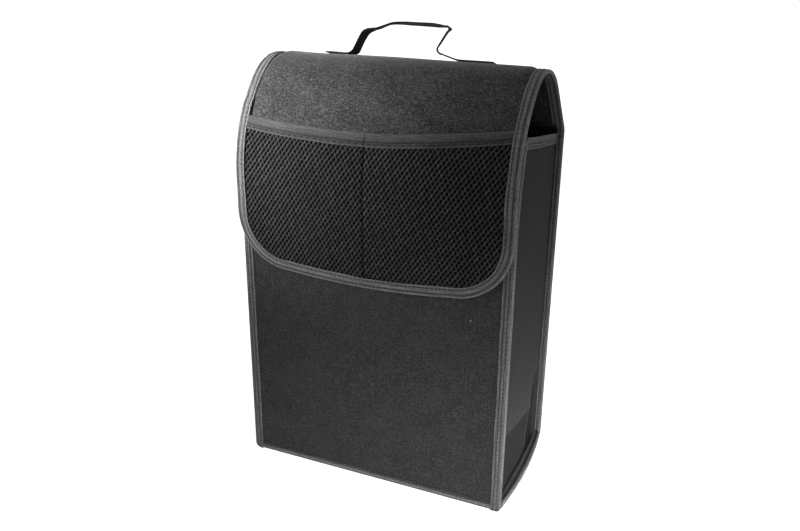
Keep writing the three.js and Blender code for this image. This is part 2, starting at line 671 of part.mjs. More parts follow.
const floorHalfY = backFace - liningDepth - LINING - PLY_GAP;
const floorLayer = (low, thickness) => box(
  [-insideX, -floorHalfY, low], [insideX, floorHalfY, low + thickness]);
add(bag, 'bottom_felt', bottomFelt(), felt);
add(bag, 'bottom_board', floorLayer(boardLow, BOARD), card);
add(bag, 'bottom_lining', floorLayer(boardLow + BOARD + PLY_GAP, LINING), felt);

add(bag, 'front_hem', frontHem(), tape);
add(bag, 'front_foot_tape', endFootTape(-1), tape);
add(bag, 'back_foot_tape', endFootTape(1), tape);
for (const [word, side] of [['left', -1], ['right', 1]]) {
  add(bag, `${word}_side_felt`, sideWall(side), felt);
  add(bag, `${word}_side_hem`, sideHem(side), tape);
  add(bag, `${word}_front_seam_tape`, frontSeamTape(side), tape);
  add(bag, `${word}_back_seam_tape`, backSeamTape(side), tape);
  add(bag, `${word}_foot_tape`, sideFootTape(side), tape);
  add(bag, `${word}_loop_patch`, patch(side, loopFront, loopFront + LOOP_THICKNESS), grip);
  add(bag, `${word}_back_hook_strip`, backStrip(side), grip);
  add(flap, `${word}_hook_patch`, patch(side, hookFront, loopFront - PLY_GAP), grip);
}

add(flap, 'flap_felt', flapFelt(), felt);
add(flap, 'flap_edge_tape', flapTape(), tape);
add(flap, 'pocket_mesh', pocketMesh(), net);
add(flap, 'pocket_hem', pocketHem(), tape);
add(flap, 'handle', handle(), web);

// The flap stands out in front of the box, so the whole bag moves back to keep the origin central.
bag.position.y = -(flapFront + backFace) / 2;

export default bag;
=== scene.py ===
# %% [markdown]
# # A felt bag for a car boot
#
# The bag is a stiff box of black felt with bound seams. Its back runs on over the top as an arched
# flap, and a piece of spacer mesh on the flap's front makes two pockets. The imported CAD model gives
# the shape and the moving flap. This lesson makes the cloth that one sees: felt, tape, mesh, thread.

import bpy
import numpy as np
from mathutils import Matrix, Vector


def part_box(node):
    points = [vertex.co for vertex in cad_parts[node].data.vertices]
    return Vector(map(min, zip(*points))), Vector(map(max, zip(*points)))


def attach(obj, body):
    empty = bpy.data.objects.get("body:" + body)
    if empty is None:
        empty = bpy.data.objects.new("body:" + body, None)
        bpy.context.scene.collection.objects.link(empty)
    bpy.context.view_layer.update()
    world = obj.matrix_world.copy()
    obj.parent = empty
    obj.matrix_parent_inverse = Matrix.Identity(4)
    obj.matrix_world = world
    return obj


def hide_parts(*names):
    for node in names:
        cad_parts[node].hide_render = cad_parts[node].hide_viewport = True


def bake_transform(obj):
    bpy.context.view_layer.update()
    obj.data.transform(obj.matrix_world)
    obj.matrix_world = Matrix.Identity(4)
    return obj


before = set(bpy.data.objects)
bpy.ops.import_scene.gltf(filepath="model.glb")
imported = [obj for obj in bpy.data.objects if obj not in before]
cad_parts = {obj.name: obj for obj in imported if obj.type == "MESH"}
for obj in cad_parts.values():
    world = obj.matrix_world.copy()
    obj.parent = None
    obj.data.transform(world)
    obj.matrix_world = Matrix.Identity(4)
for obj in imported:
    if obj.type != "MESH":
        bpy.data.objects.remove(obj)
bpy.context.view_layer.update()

# %% [markdown]
# ## Sizes
#
# Cloth is measured in millimetres here, on the bag itself, as a maker would. One function turns such
# points into the frame's metres. The bag's middle lies a little behind the frame's origin, because
# the flap stands out in front, so that small shift is read from the frame.

# %% Sizes of the bag, in millimetres
WIDTH = 300.0
DEPTH = 170.0
BACK_HEIGHT = 374.0
FRONT_HEIGHT = 386.0
SIDE_BACK_HEIGHT = 367.0
FRONT_LEAN = 15.0
LEAN_START = 290.0
FLANGE = 8.0
FELT = 1.8
SIDE_FELT = 1.4
BOARD = 1.6
LINING = 0.6
MESH = 1.2
TAPE = 0.8
TAPE_WIDTH = 11.0
PLY_GAP = 0.3
HALF_WIDTH = WIDTH / 2
HALF_DEPTH = DEPTH / 2
PANEL_INSET = TAPE + PLY_GAP
SEAM_STACK = FELT + PLY_GAP + SIDE_FELT
HEM_STACK = FELT + BOARD + LINING + 2 * PLY_GAP
FLAP_STACK = MESH + PLY_GAP + FELT
BETWEEN_TAPES = HALF_WIDTH - TAPE_WIDTH - PLY_GAP
shift_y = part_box("back_foot_tape")[1].y * 1000 - HALF_DEPTH
print("The bag's middle is shifted by", round(shift_y, 2), "mm")


def to_metres(points):
    """Points in millimetres on the bag, as points in metres in the frame."""
    return (np.asarray(points, float) + [0, shift_y, 0]) / 1000


def fold_radius(stack):
    """Inner radius of a tape's fold round a stack of layers: half the stack and a small gap."""
    return stack / 2 + PLY_GAP


def taped_half(stack):
    """Half the thickness of a taped edge: the fold's inner radius and the tape."""
    return fold_radius(stack) + TAPE


SEAM_HALF = taped_half(SEAM_STACK)
BETWEEN_SEAMS = HALF_DEPTH - 2 * SEAM_HALF - PLY_GAP
WALL_X = HALF_WIDTH - FLANGE - SIDE_FELT / 2
FLAP_FRONT = -HALF_DEPTH - 1.5 - 2 * taped_half(FLAP_STACK)


def ease(value, low, high):
    """Goes from 0 at low to 1 at high along a smooth S."""
    t = np.clip((value - low) / (high - low), 0, 1)
    return t * t * (3 - 2 * t)


def hump(value, middle, width):
    """A bell of height 1 round middle."""
    return np.exp(-(((value - middle) / width) ** 2))


# %% [markdown]
# ## A layer of cloth
#
# Felt, tape and webbing are all thin solids with two faces and a rim. Each face is a grid of points
# worked out by a formula, so one helper can close any pair of such grids into a solid. It also keeps
# the cloth's flat size as a UV map in metres, which the weave follows later.

# %% Helpers that make the meshes


def grid_quads(rows, columns, first=0):
    """Quads of a grid of points that is stored row by row, starting at index first."""
    corner = first + np.arange(rows - 1)[:, None] * columns + np.arange(columns - 1)
    quads = np.stack([corner, corner + 1, corner + columns + 1, corner + columns], axis=-1)
    return quads.reshape(-1, 4)


def linked(name, data):
    """A new object that shows a mesh, lamp or camera, put into the scene."""
    made = bpy.data.objects.new(name, data)
    bpy.context.scene.collection.objects.link(made)
    return made


def piece(name, points, faces, uv=None, sharp=40):
    """A smooth mesh object from points in the frame's metres. uv has one place for each point."""
    mesh = bpy.data.meshes.new(name)
    mesh.from_pydata(np.asarray(points).tolist(), [], [list(f) for f in np.asarray(faces).tolist()])
    mesh.shade_smooth()
    mesh.set_sharp_from_angle(angle=np.radians(sharp))
    if uv is not None:
        corners = np.zeros(len(mesh.loops), np.int32)
        mesh.loops.foreach_get("vertex_index", corners)
        cloth_map = mesh.uv_layers.new(name="cloth")
        cloth_map.data.foreach_set("uv", np.asarray(uv, np.float32)[corners].ravel())
    return linked(name, mesh)


def outward(points, quads):
    """The quads, all turned round if together they enclose a negative volume."""
    a, b, c, d = (points[quads[:, k]] for k in range(4))
    volume = (a * np.cross(b, c)).sum() + (a * np.cross(c, d)).sum()
    return quads if volume > 0 else quads[:, ::-1]


def layer(name, top, under, uv, shade=1.0):
    """A thin solid between two grids of points in millimetres, joined round the rim.
    uv gives each grid point's place on the flat cloth, in millimetres. shade says how pale the top
    face is at each point: painted highlights on its ridges and painted shade in its grooves."""
    rows, columns = top.shape[:2]
    count = rows * columns
    index = np.arange(count).reshape(rows, columns)
    ring = np.concatenate([index[0, :-1], index[:-1, -1], index[-1, :0:-1], index[:0:-1, 0]])
    after = np.roll(ring, -1)
    rim = np.stack([ring, ring + count, after + count, after], axis=-1)
    points = to_metres(np.concatenate([top.reshape(-1, 3), under.reshape(-1, 3)]))
    quads = np.concatenate([grid_quads(rows, columns), grid_quads(rows, columns, count)[:, ::-1], rim])
    flat = np.tile(uv.reshape(-1, 2), (2, 1)) / 1000
    made = piece(name, points, outward(points, quads), flat)
    tones = np.concatenate([np.broadcast_to(shade, (rows, columns)).ravel(), np.ones(count)])
    add_shade(made, tones)
    return made


def add_shade(made, tones):
    """Keeps a tone for each point, which its material multiplies its colour by: painted light and shade."""
    tones = np.ascontiguousarray(tones, np.float32)
    made.data.attributes.new("shade", "FLOAT", "POINT").data.foreach_set("value", tones)


def steps(low, high, spacing):
    """Evenly spaced values from low to high, about spacing apart."""
    return np.linspace(low, high, max(2, int(np.ceil(abs(high - low) / spacing)) + 1))


def walked(line):
    """Distance walked along a line of points: the running sum of the steps' lengths, from 0."""
    return np.concatenate([[0], np.cumsum(np.linalg.norm(np.diff(line, axis=0), axis=1))])


def unit(vectors):
    """The vectors, each divided by its length."""
    return vectors / np.linalg.norm(vectors, axis=1, keepdims=True)


def sampled(values, gone, at):
    """Rows of values read off at the distances at, where gone is the distance of each row."""
    return np.stack([np.interp(at, gone, column) for column in values.T], -1)


def together(*parts):
    """Arrays stretched to one shape and stacked, as the parts of a place: (x, y, z) or (u, v)."""
    return np.stack(np.broadcast_arrays(*parts), axis=-1)


# %% [markdown]
# ## The long sheet: back and flap
#
# On the real bag one piece of felt runs up the back, folds at the top edge and arches over to the
# front. Its side view can be walked: the heading says which way the cloth points at each distance
# from the fold, and the running sum of small steps gives the place. Any layer of the flap is then a
# depth below that line, so the felt, mesh, tapes and stitches always fit on each other.

# %% The flap's side view
RISE_ANGLE = 46.5
CROWN_HEIGHT = 442.0
CROWN_RADIUS = 62.0
SHOULDER_ANGLE = 42.0
FLAP_EDGE_HEIGHT = 226.0
HINGE_BEND = 5.0
WALK_STEP = 0.25
CROWN_TILT = 2.5
CROWN_LIFT = 3.0

rise, lean_angle = np.radians(RISE_ANGLE), np.radians(SHOULDER_ANGLE)
rise_length = (CROWN_HEIGHT - BACK_HEIGHT - CROWN_RADIUS * (1 - np.cos(rise))) / np.sin(rise)
crown_y = HALF_DEPTH - rise_length * np.cos(rise) - CROWN_RADIUS * np.sin(rise)
shoulder_y = crown_y - CROWN_RADIUS * np.sin(lean_angle)
shoulder_z = CROWN_HEIGHT - CROWN_RADIUS * (1 - np.cos(lean_angle))
front_radius = (shoulder_y - FLAP_FRONT) / (1 - np.sin(lean_angle))
crown_end = rise_length + CROWN_RADIUS * (rise + lean_angle)
drop_start = crown_end + front_radius * (np.pi / 2 - lean_angle)
drop_z = shoulder_z - front_radius * np.cos(lean_angle)
FLAP_LENGTH = drop_start + drop_z - FLAP_EDGE_HEIGHT

walk_s = np.arange(-BACK_HEIGHT, FLAP_LENGTH + 5, WALK_STEP)
bends = [-HINGE_BEND, HINGE_BEND, rise_length - 6, rise_length + 6, crown_end - 8, crown_end + 8]
turns = [90, RISE_ANGLE, RISE_ANGLE, RISE_ANGLE - np.degrees(6 / CROWN_RADIUS)]
turns += [-SHOULDER_ANGLE + np.degrees(8 / CROWN_RADIUS), -SHOULDER_ANGLE - np.degrees(8 / front_radius)]
walk_heading = np.radians(np.interp(walk_s, [*bends, drop_start], [*turns, -90]))
walk_y = HALF_DEPTH - np.cumsum(np.cos(walk_heading)) * WALK_STEP
walk_z = np.cumsum(np.sin(walk_heading)) * WALK_STEP
print("The flap is", round(FLAP_LENGTH, 1), "mm long and its crown is", round(walk_z.max(), 1), "mm high")


def flap_point(x, s, depth):
    """A point of the long sheet: x across, s along it from the fold, depth in from its outer line.
    The place is the walked line's, moved square to the heading. The crown arches up a little more
    than the solid's, and most on the left."""
    x, s, depth = np.broadcast_arrays(x, s, depth)
    heading = np.interp(s, walk_s, walk_heading)
    y = np.interp(s, walk_s, walk_y) - depth * np.sin(heading)
    z = np.interp(s, walk_s, walk_z) - depth * np.cos(heading)
    over_crown = ease(s, 0, rise_length + 20) * (1 - ease(s, crown_end - 20, drop_start - 10))
    z = z + (CROWN_LIFT - CROWN_TILT * x / HALF_WIDTH) * over_crown
    return np.stack([x, y, z], axis=-1)


# %% The flap's outline and the line of the pockets' hem
FLAP_CORNER = 60.0
FLAP_BOW = 5.0
POCKET_DEPTH = 155.2
HEM_SAG = 13.0
HEM_TILT = 4.4
POCKET_SLACK = 3.0
CROWN_SWELL = 2.6
corner_start = FLAP_LENGTH - FLAP_BOW - FLAP_CORNER


def flap_rows(inset, start, spacing):
    """Rows of the cut flap, inset from its outline: half the width, s at the ends, and the middle's bow."""
    straight = steps(start, corner_start, spacing)
    angle = np.linspace(0, np.pi / 2, 28)[1:]
    half = HALF_WIDTH - inset - (FLAP_CORNER - inset) * (1 - np.cos(angle))
    round_s = corner_start + (FLAP_CORNER - inset) * np.sin(angle)
    bow = FLAP_BOW * np.sin(angle) ** 2
    flat = np.zeros_like(straight)
    return (np.concatenate([flat + HALF_WIDTH - inset, half]), np.concatenate([straight, round_s]),
            np.concatenate([flat, bow]))


def hem_s(x):
    """Distance of the pockets' mouth from the fold: it hangs lowest in the middle and a bit to the left."""
    return FLAP_LENGTH - POCKET_DEPTH - HEM_SAG * (x / HALF_WIDTH) ** 2 - HEM_TILT * x / HALF_WIDTH


def seam_x(s):
    """Place of the seam between the pockets: a little left of the middle, and slanting back to it."""
    return -5.2 + 2.2 * (s - hem_s(0.0)) / POCKET_DEPTH


def crown_swell(x, s):
    """How far the felt arches up between its two bound edges, which are a little too tight for it."""
    along = ease(s, 20, 80) * (1 - ease(s, 140, 205))
    return CROWN_SWELL * ease(HALF_WIDTH - TAPE_WIDTH - np.abs(x), 0, 8) * along


def pocket_lift(x, s):
    """How far the slack mesh stands off the felt: a swell in each pocket that dies out downwards."""
    swell = np.sin(np.pi * np.clip(np.abs(x) / (HALF_WIDTH - TAPE_WIDTH - 4), 0, 1)) ** 2
    down = np.clip((s - hem_s(x)) / POCKET_DEPTH, 0, 1)
    return POCKET_SLACK * swell * (1 - down) ** 2


# %% [markdown]
# ## Shader groups
#
# Three effects come back in several materials: the fibre grain of felt, the ribs of woven tape, and
# lint. Each is a node group with named sockets, built once. A group only gives values and masks, and
# the Principled shader stays in each material.

# %% Node helpers


def node(tree, kind, inputs=None, **settings):
    """Adds a node. An input is linked if it is a socket, and set as a value if it isn't."""
    made = tree.nodes.new("ShaderNode" + kind)
    for key, value in settings.items():
        setattr(made, key, value)
    for key, value in (inputs or {}).items():
        if isinstance(value, bpy.types.NodeSocket):
            tree.links.new(value, made.inputs[key])
        else:
            made.inputs[key].default_value = value
    return made


def maths(tree, operation, *values):
    """The result of a Math node on up to three values or sockets."""
    return node(tree, "Math", dict(enumerate(values)), operation=operation).outputs[0]


def shader_group(name, outputs, inputs=("Vector",)):
    """An empty node group with a vector input, number inputs and number outputs, and its two end nodes."""
    group = bpy.data.node_groups.new(name, "ShaderNodeTree")
    for word in inputs:
        kind = "NodeSocketVector" if word == "Vector" else "NodeSocketFloat"
        group.interface.new_socket(name=word, in_out="INPUT", socket_type=kind)
    for word in outputs:
        group.interface.new_socket(name=word, in_out="OUTPUT", socket_type="NodeSocketFloat")
    return group, group.nodes.new("NodeGroupInput"), group.nodes.new("NodeGroupOutput")


def stretched_noise(tree, vector, scale, stretch, detail=2.0):
    """Noise that is drawn out along the axes where stretch is small."""
    moved = node(tree, "Mapping", {"Vector": vector, "Scale": stretch}).outputs[0]
    made = node(tree, "TexNoise", {"Vector": moved, "Scale": scale, "Detail": detail, "Roughness": 0.6})
    return made.outputs["Fac"]


# %% Felt: short fibres that lie in all directions, thicker and thinner places
felt_grain, enter, leave = shader_group("felt_grain", ("Tone", "Height"))
place = enter.outputs["Vector"]
speckle = stretched_noise(felt_grain, place, 520, (1, 1, 1), 3)
flat_fibres = stretched_noise(felt_grain, place, 900, (0.16, 1, 1))
upright_fibres = stretched_noise(felt_grain, place, 900, (1, 1, 0.16))
clouds = stretched_noise(felt_grain, place, 38, (1, 1, 1))
fibres = maths(felt_grain, "MAXIMUM", flat_fibres, upright_fibres)
mixed = maths(felt_grain, "MULTIPLY_ADD", speckle, 0.55, maths(felt_grain, "MULTIPLY", fibres, 0.45))
spread = node(felt_grain, "MapRange", {"Value": mixed, "From Min": 0.45, "From Max": 0.62}).outputs[0]
flecks = node(felt_grain, "MapRange", {"Value": speckle, "From Min": 0.6, "From Max": 0.7}).outputs[0]
cloudy = maths(felt_grain, "MULTIPLY_ADD", clouds, 0.5, -0.25)
tone = maths(felt_grain, "MULTIPLY_ADD", spread, 0.6, cloudy)
tone = maths(felt_grain, "MULTIPLY_ADD", flecks, 0.6, tone)
felt_grain.links.new(tone, leave.inputs["Tone"])
felt_grain.links.new(mixed, leave.inputs["Height"])

# %% Tape: fine ribs across, mottled yarn and fine streaks along it
tape_weave, enter, leave = shader_group("tape_weave", ("Tone", "Height"))
place = enter.outputs["Vector"]
flat = node(tape_weave, "SeparateXYZ", {"Vector": place})
ribs = maths(tape_weave, "SINE", maths(tape_weave, "MULTIPLY", flat.outputs["Y"], 2 * np.pi / 0.0011))
lines = maths(tape_weave, "SINE", maths(tape_weave, "MULTIPLY", flat.outputs["X"], 2 * np.pi / 0.0016))
yarn = stretched_noise(tape_weave, place, 760, (1, 0.6, 1), 3)
streaks = stretched_noise(tape_weave, place, 900, (1, 0.04, 1))
patches = stretched_noise(tape_weave, place, 60, (1, 0.3, 1))
woven = maths(tape_weave, "MULTIPLY_ADD", ribs, 0.22, maths(tape_weave, "MULTIPLY", lines, 0.16))
mottled = node(tape_weave, "MapRange", {"Value": yarn, "From Min": 0.42, "From Max": 0.62}).outputs[0]
streaked = node(tape_weave, "MapRange", {"Value": streaks, "From Min": 0.4, "From Max": 0.62}).outputs[0]
tone = maths(tape_weave, "MULTIPLY_ADD", streaked, 0.3, maths(tape_weave, "MULTIPLY", mottled, 0.4))
tone = maths(tape_weave, "MULTIPLY_ADD", woven, 0.3, tone)
tone = maths(tape_weave, "ADD", tone, maths(tape_weave, "MULTIPLY_ADD", patches, 0.3, -0.15))
tape_weave.links.new(tone, leave.inputs["Tone"])
tape_weave.links.new(maths(tape_weave, "ADD", woven, yarn), leave.inputs["Height"])

# %% Lint: a few white specks caught in the cloth
lint_specks, enter, leave = shader_group("lint_specks", ("Mask",))
cells = node(lint_specks, "TexVoronoi", {"Vector": enter.outputs["Vector"], "Scale": 55.0})
chance = node(lint_specks, "SeparateColor", {"Color": cells.outputs["Color"]}).outputs[0]
rare = maths(lint_specks, "GREATER_THAN", chance, 0.985)
small = maths(lint_specks, "LESS_THAN", cells.outputs["Distance"], 0.035)
lint_specks.links.new(maths(lint_specks, "MULTIPLY", rare, small), leave.inputs["Mask"])

# %% Materials


def placed_group(tree, group, vector):
    """A node group placed in a material and fed with a vector."""
    return node(tree, "Group", {"Vector": vector}, node_tree=group)


def fresh_material(name):
    """A new material, with its node tree and its Principled shader."""
    material = bpy.data.materials.new(name)
    material.use_nodes = True
    return material, material.node_tree, material.node_tree.nodes["Principled BSDF"]


def set_values(shader, **values):
    """Sets sockets of a shader. A socket's name is written with underscores for its spaces."""
    for key, value in values.items():
        shader.inputs[key.replace("_", " ")].default_value = value


def blended(tree, factor, first, second):
    """A colour that goes from first to second as factor goes from 0 to 1. Each is a socket or a value.
    A Mix node has its two colours at inputs 6 and 7, and the mixed one at output 2."""
    return node(tree, "Mix", {"Factor": factor, 6: first, 7: second}, data_type="RGBA").outputs[2]


def cloth(name, slot, dark, pale, group, coordinates="Object", bump=0.0004, sheen=0.2, lint=False,
          shaded=False, rough=0.92, gloss=0.08):
    """A cloth material: its colour goes from dark to pale with the group's tone, and its surface
    follows the group's height by bump metres. Sheen is the pale gloss that fibres show at a slant.
    Where it is shaded, the piece's shade attribute multiplies its colour: painted shade in its grooves
    and painted highlights on its ridges."""
    material, tree, shader = fresh_material(name)
    effect = placed_group(tree, group, node(tree, "TexCoord").outputs[coordinates])
    color = blended(tree, effect.outputs["Tone"], (*dark, 1), (*pale, 1))
    if lint:
        specks = placed_group(tree, lint_specks, node(tree, "TexCoord").outputs["Object"])
        color = blended(tree, specks.outputs["Mask"], color, (0.35, 0.35, 0.35, 1))
    if shaded:
        # The shade attribute paints light and shade into the colour.
        own = node(tree, "Attribute", attribute_name="shade").outputs["Fac"]
        color = node(tree, "VectorMath", {0: color, "Scale": own}, operation="SCALE").outputs[0]
    tree.links.new(color, shader.inputs["Base Color"])
    ridges = node(tree, "Bump", {"Height": effect.outputs["Height"], "Distance": bump, "Strength": 0.8})
    tree.links.new(ridges.outputs["Normal"], shader.inputs["Normal"])
    set_values(shader, Roughness=rough, Sheen_Weight=sheen, Sheen_Roughness=0.45,
               Sheen_Tint=(0.75, 0.76, 0.78, 1), Specular_IOR_Level=gloss)
    material["slot"] = slot
    return material


def grey(level, warmth=0.0):
    """A near grey colour: warmth moves red up and blue down by that share."""
    return (level * (1 + warmth), level, level * (1 - warmth))


COOL = -0.01
black_felt = cloth("black_felt", "felt", grey(0.015, COOL), grey(0.042, COOL), felt_grain,
                   sheen=0.05, lint=True)
nap_felt = cloth("nap_felt", "felt", grey(0.010, COOL), grey(0.066, COOL), felt_grain,
                 bump=0.0006, sheen=0.1, lint=True)
wall_felt = cloth("wall_felt", "side_felt", grey(0.024, COOL), grey(0.038, COOL), felt_grain,
                  bump=0.0002, sheen=0.02, lint=True, shaded=True, rough=1.0, gloss=0.03)
lining_cloth = cloth("lining_cloth", "lining", grey(0.006), grey(0.012), felt_grain, sheen=0.0, gloss=0.0)
binding_tape = cloth("binding_tape", "tape", grey(0.043), grey(0.165), tape_weave, "UV",
                     bump=0.0004, sheen=0.12, shaded=True)
mesh_yarn = cloth("mesh_yarn", "mesh", grey(0.018), grey(0.05), felt_grain,
                  bump=0.0003, sheen=0.05, shaded=True)
# The mesh's back is coloured near black: painted shade that the holes show.
mesh_back_painted_shade = cloth("mesh_back_painted_shade", "mesh", grey(0.001), grey(0.002), felt_grain,
                  bump=0.0003, sheen=0.0, gloss=0.0)
webbing_yarn = cloth("webbing_yarn", "webbing", grey(0.008), grey(0.03), tape_weave, "UV",
                     bump=0.0006, sheen=0.05)
grip_pile = cloth("grip_pile", "hook_loop", grey(0.006), grey(0.02), felt_grain, bump=0.0008, sheen=0.02)
sewing_thread = cloth("sewing_thread", "tape", grey(0.004), grey(0.014), felt_grain, bump=0.0002, sheen=0.05)
print("Materials:", len(bpy.data.materials))


def dress(made, material, body, *replaced):
    """Gives a piece its material, body and slot, and hides the CAD nodes that it stands for."""
    made.data.materials.append(material)
    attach(made, body)
    if replaced:
        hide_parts(*replaced)
    return made


# %% [markdown]
# ## Felt panels
#
# The front, back and flap are the same needle-punched felt, about two millimetres thick. Stiff board
# behind them keeps them nearly flat, so a few tenths of a millimetre of slow waves are all that they
# need. A formula of long sine waves gives those, and every panel adds it to its depth.

# %% Waves in the felt


def waves(a, b, size):
    """Slow, uneven waves over a panel: a sum of three sines that don't repeat together."""
    long_wave = np.sin(a / 41 + 1.3) * np.sin(b / 57)
    return size * (long_wave + 0.6 * np.sin(a / 23 - b / 31) + 0.4 * np.sin(b / 17 + a / 90))


def lean(z):
    """How far the front panel leans in at height z: the square of the way up from LEAN_START."""
    return FRONT_LEAN * (np.maximum(0, z - LEAN_START) / (FRONT_HEIGHT - LEAN_START)) ** 2


# %% Front panel
FELT_HALF = HALF_WIDTH - 1.6
FRONT_ROUND = {-1: 9.0, 1: 5.0}
BACK_ROUND = 3.0
ROUND_ROWS_END = 14.0
UNDER_HEM = 2.5
ROUND_INSET = 0.8
ROUND_FADE = 40.0


def foot_round(from_edge, radius):
    """Height of a rounded lower corner at a distance from the edge: radius minus the circle's rise."""
    return radius - np.sqrt(radius**2 - np.clip(radius - from_edge, 0, radius) ** 2)


def felt_half(z, radius):
    """Half the width of a felt panel at height z: its lower corners are cut to a radius."""
    return FELT_HALF - foot_round(np.maximum(0, z - PANEL_INSET), radius - ROUND_INSET)


def front_point(x, z, depth):
    """A point of the front panel, depth behind the front face, which leans in at the top."""
    return together(x, -HALF_DEPTH + lean(z) + depth, z)


foot_rows = PANEL_INSET + FRONT_ROUND[-1] * (1 - np.cos(np.linspace(0, np.pi / 2, 9)))
front_rows = np.concatenate([foot_rows, steps(ROUND_ROWS_END, FRONT_HEIGHT - UNDER_HEM, 4)])
share, up = np.meshgrid(np.linspace(-1, 1, 76), front_rows)
across = share * felt_half(up, FRONT_ROUND[-1])
inward = PANEL_INSET + waves(across, up, 0.25) * ease(BETWEEN_TAPES - np.abs(across), 0, 30)
front_panel = layer("front_panel", front_point(across, up, inward),
                    front_point(across, up, PANEL_INSET + FELT), together(across, up))
dress(front_panel, black_felt, "bag", "front_felt")

# %% Back panel, hinge fold and flap: one sheet on the real bag, made in three parts so that it can turn
HINGE_REACH = 9.0
FOLD_STEP = 0.75
FLAP_FELT_DEPTH = TAPE + PLY_GAP + MESH + PLY_GAP
FLAP_FELT_INSET = 1.7


def long_felt_depth(s):
    """Depth of the felt's outer face: deeper on the flap, where mesh lies over it."""
    return PANEL_INSET + (FLAP_FELT_DEPTH - PANEL_INSET) * ease(s, -HINGE_REACH, HINGE_REACH)


def long_felt(name, across, along):
    """A part of the long felt sheet over a grid of x and s."""
    depth = long_felt_depth(along) - crown_swell(across, along)
    calm = ease(HALF_WIDTH - TAPE_WIDTH - np.abs(across), 0, 30) * ease(np.abs(along), HINGE_REACH, 40)
    ripple = waves(across, along, 0.3) * calm * (along < hem_s(across))
    return layer(name, flap_point(across, along, depth - ripple), flap_point(across, along, depth + FELT),
                 together(across, along))


back_rows = np.concatenate([foot_rows - BACK_HEIGHT, steps(ROUND_ROWS_END - BACK_HEIGHT, -HINGE_REACH, 5)])
share, back_along = np.meshgrid(np.linspace(-1, 1, 60), back_rows)
back_across = share * felt_half(back_along + BACK_HEIGHT, BACK_ROUND)
back_panel = dress(long_felt("back_panel", back_across, back_along), black_felt, "bag", "back_felt")

fold_rows = steps(-HINGE_REACH, HINGE_REACH, FOLD_STEP)
fold_across, fold_along = np.meshgrid(steps(-FELT_HALF, FELT_HALF, 5), fold_rows)
hinge_fold = long_felt("hinge_fold", fold_across, fold_along)
hinge_fold.data.materials.append(black_felt)

half, end_s, bow = flap_rows(FLAP_FELT_INSET, HINGE_REACH, 3)
share = np.sin(np.linspace(-np.pi / 2, np.pi / 2, 111))
flap_across = half[:, None] * share
flap_along = end_s[:, None] + bow[:, None] * (1 - share**2)
flap_panel = dress(long_felt("flap_panel", flap_across, flap_along), nap_felt, "flap", "flap_felt")

# %% Bottom panel
BOTTOM_HALF = 81.5
bottom_across, bottom_deep = np.meshgrid(steps(-BETWEEN_TAPES, BETWEEN_TAPES, 8),
                                         steps(-BOTTOM_HALF, BOTTOM_HALF, 8))
bottom_panel = layer("bottom_panel", together(bottom_across, bottom_deep, PANEL_INSET + FELT),
                     together(bottom_across, bottom_deep, PANEL_INSET), together(bottom_across, bottom_deep))
dress(bottom_panel, black_felt, "bag", "bottom_felt")

# %% [markdown]
# ## Side walls
#
# The side walls are thinner felt with no board behind them. Each is folded outwards along its edges,
# so that it can be sewn into the seams, and stands some millimetres back from them. Near the floor
# the loose cloth still shows where it was folded flat. The line of the wall seen from above is
# walked once, and each height repeats it with the fold's own bulge added.

# %% Side walls
BEND_RADIUS = 2.0
FLANGE_Y = HALF_DEPTH - PANEL_INSET - FELT - PLY_GAP - SIDE_FELT / 2
FOOT_Z = PANEL_INSET + FELT + PLY_GAP + SIDE_FELT / 2


def side_top(y):
    """Height of the side wall's top edge, which falls from the front to the back."""
    return np.interp(y, [-HALF_DEPTH, HALF_DEPTH], [FRONT_HEIGHT, SIDE_BACK_HEIGHT])


def calm(y):
    """1 over most of the side wall and 0 beside its flanges."""
    return 1 - ease(np.abs(y), FLANGE_Y - 20, FLANGE_Y - 6)


RIDGE_HEIGHTS = [0, 15, 31, 55, 70, 81, 95, 115]
RIDGE_PLACES = [26, 23, 19, 13, 11, 18, 36, 78]
FOLD_HEIGHT = 73.0
FOLD_OUT = 8.5
FOLD_START = -72.0
FOLD_RUN = 83.0
FOLD_FADE = 42.0
HOLLOW_DEPTH = 3.2
CORNER_REACH = 3.3
FLANGE_INSET = 1.8
TOP_INSET = 1.6
FOOT_INSET = 2.2
FOOT_BEND = 1.6
WALL_ROWS = 150
ROW_CROWDING = 1.35
WALL_COLUMNS = 170
MEASURED_ROW = 60


def crease(y, z):
    """How far the wall bulges out where it was once folded flat. One fold runs level from the front
    seam and grows outwards. It meets a ridge that comes down from the back seam and runs on to the
    foot. Above the level fold the bulge fades with height, below it the cloth turns in a little, and
    behind the ridge it drops into a hollow."""
    ridge = np.interp(z, RIDGE_HEIGHTS, RIDGE_PLACES)
    grown = FOLD_OUT * np.clip((np.minimum(y, ridge) - FOLD_START) / FOLD_RUN, 0, 1)
    below = 0.25 + 0.75 * np.clip(z / FOLD_HEIGHT, 0, 1) ** 1.3
    fade = np.where(z > FOLD_HEIGHT, np.exp(-np.maximum(0, z - FOLD_HEIGHT) / FOLD_FADE), below)
    behind = np.maximum(0, y - ridge)
    drop = np.exp(-((behind / 3.5) ** 2))
    hollow = -HOLLOW_DEPTH * (1 - np.exp(-((behind / 7) ** 2))) * (1 - ease(z, 80, 125))
    slack = 0.5 * np.sin(z / 47 + 0.6) * np.cos(y / 44) * ease(z, 60, 140)
    return (grown * fade * drop + hollow + slack) * calm(y) * ease(z, FOOT_Z, 17)


def pull(y, z):
    """The front edge leans in with the front panel."""
    return lean(z) * np.clip(-y / (FLANGE_Y - SIDE_FELT), 0, 1)


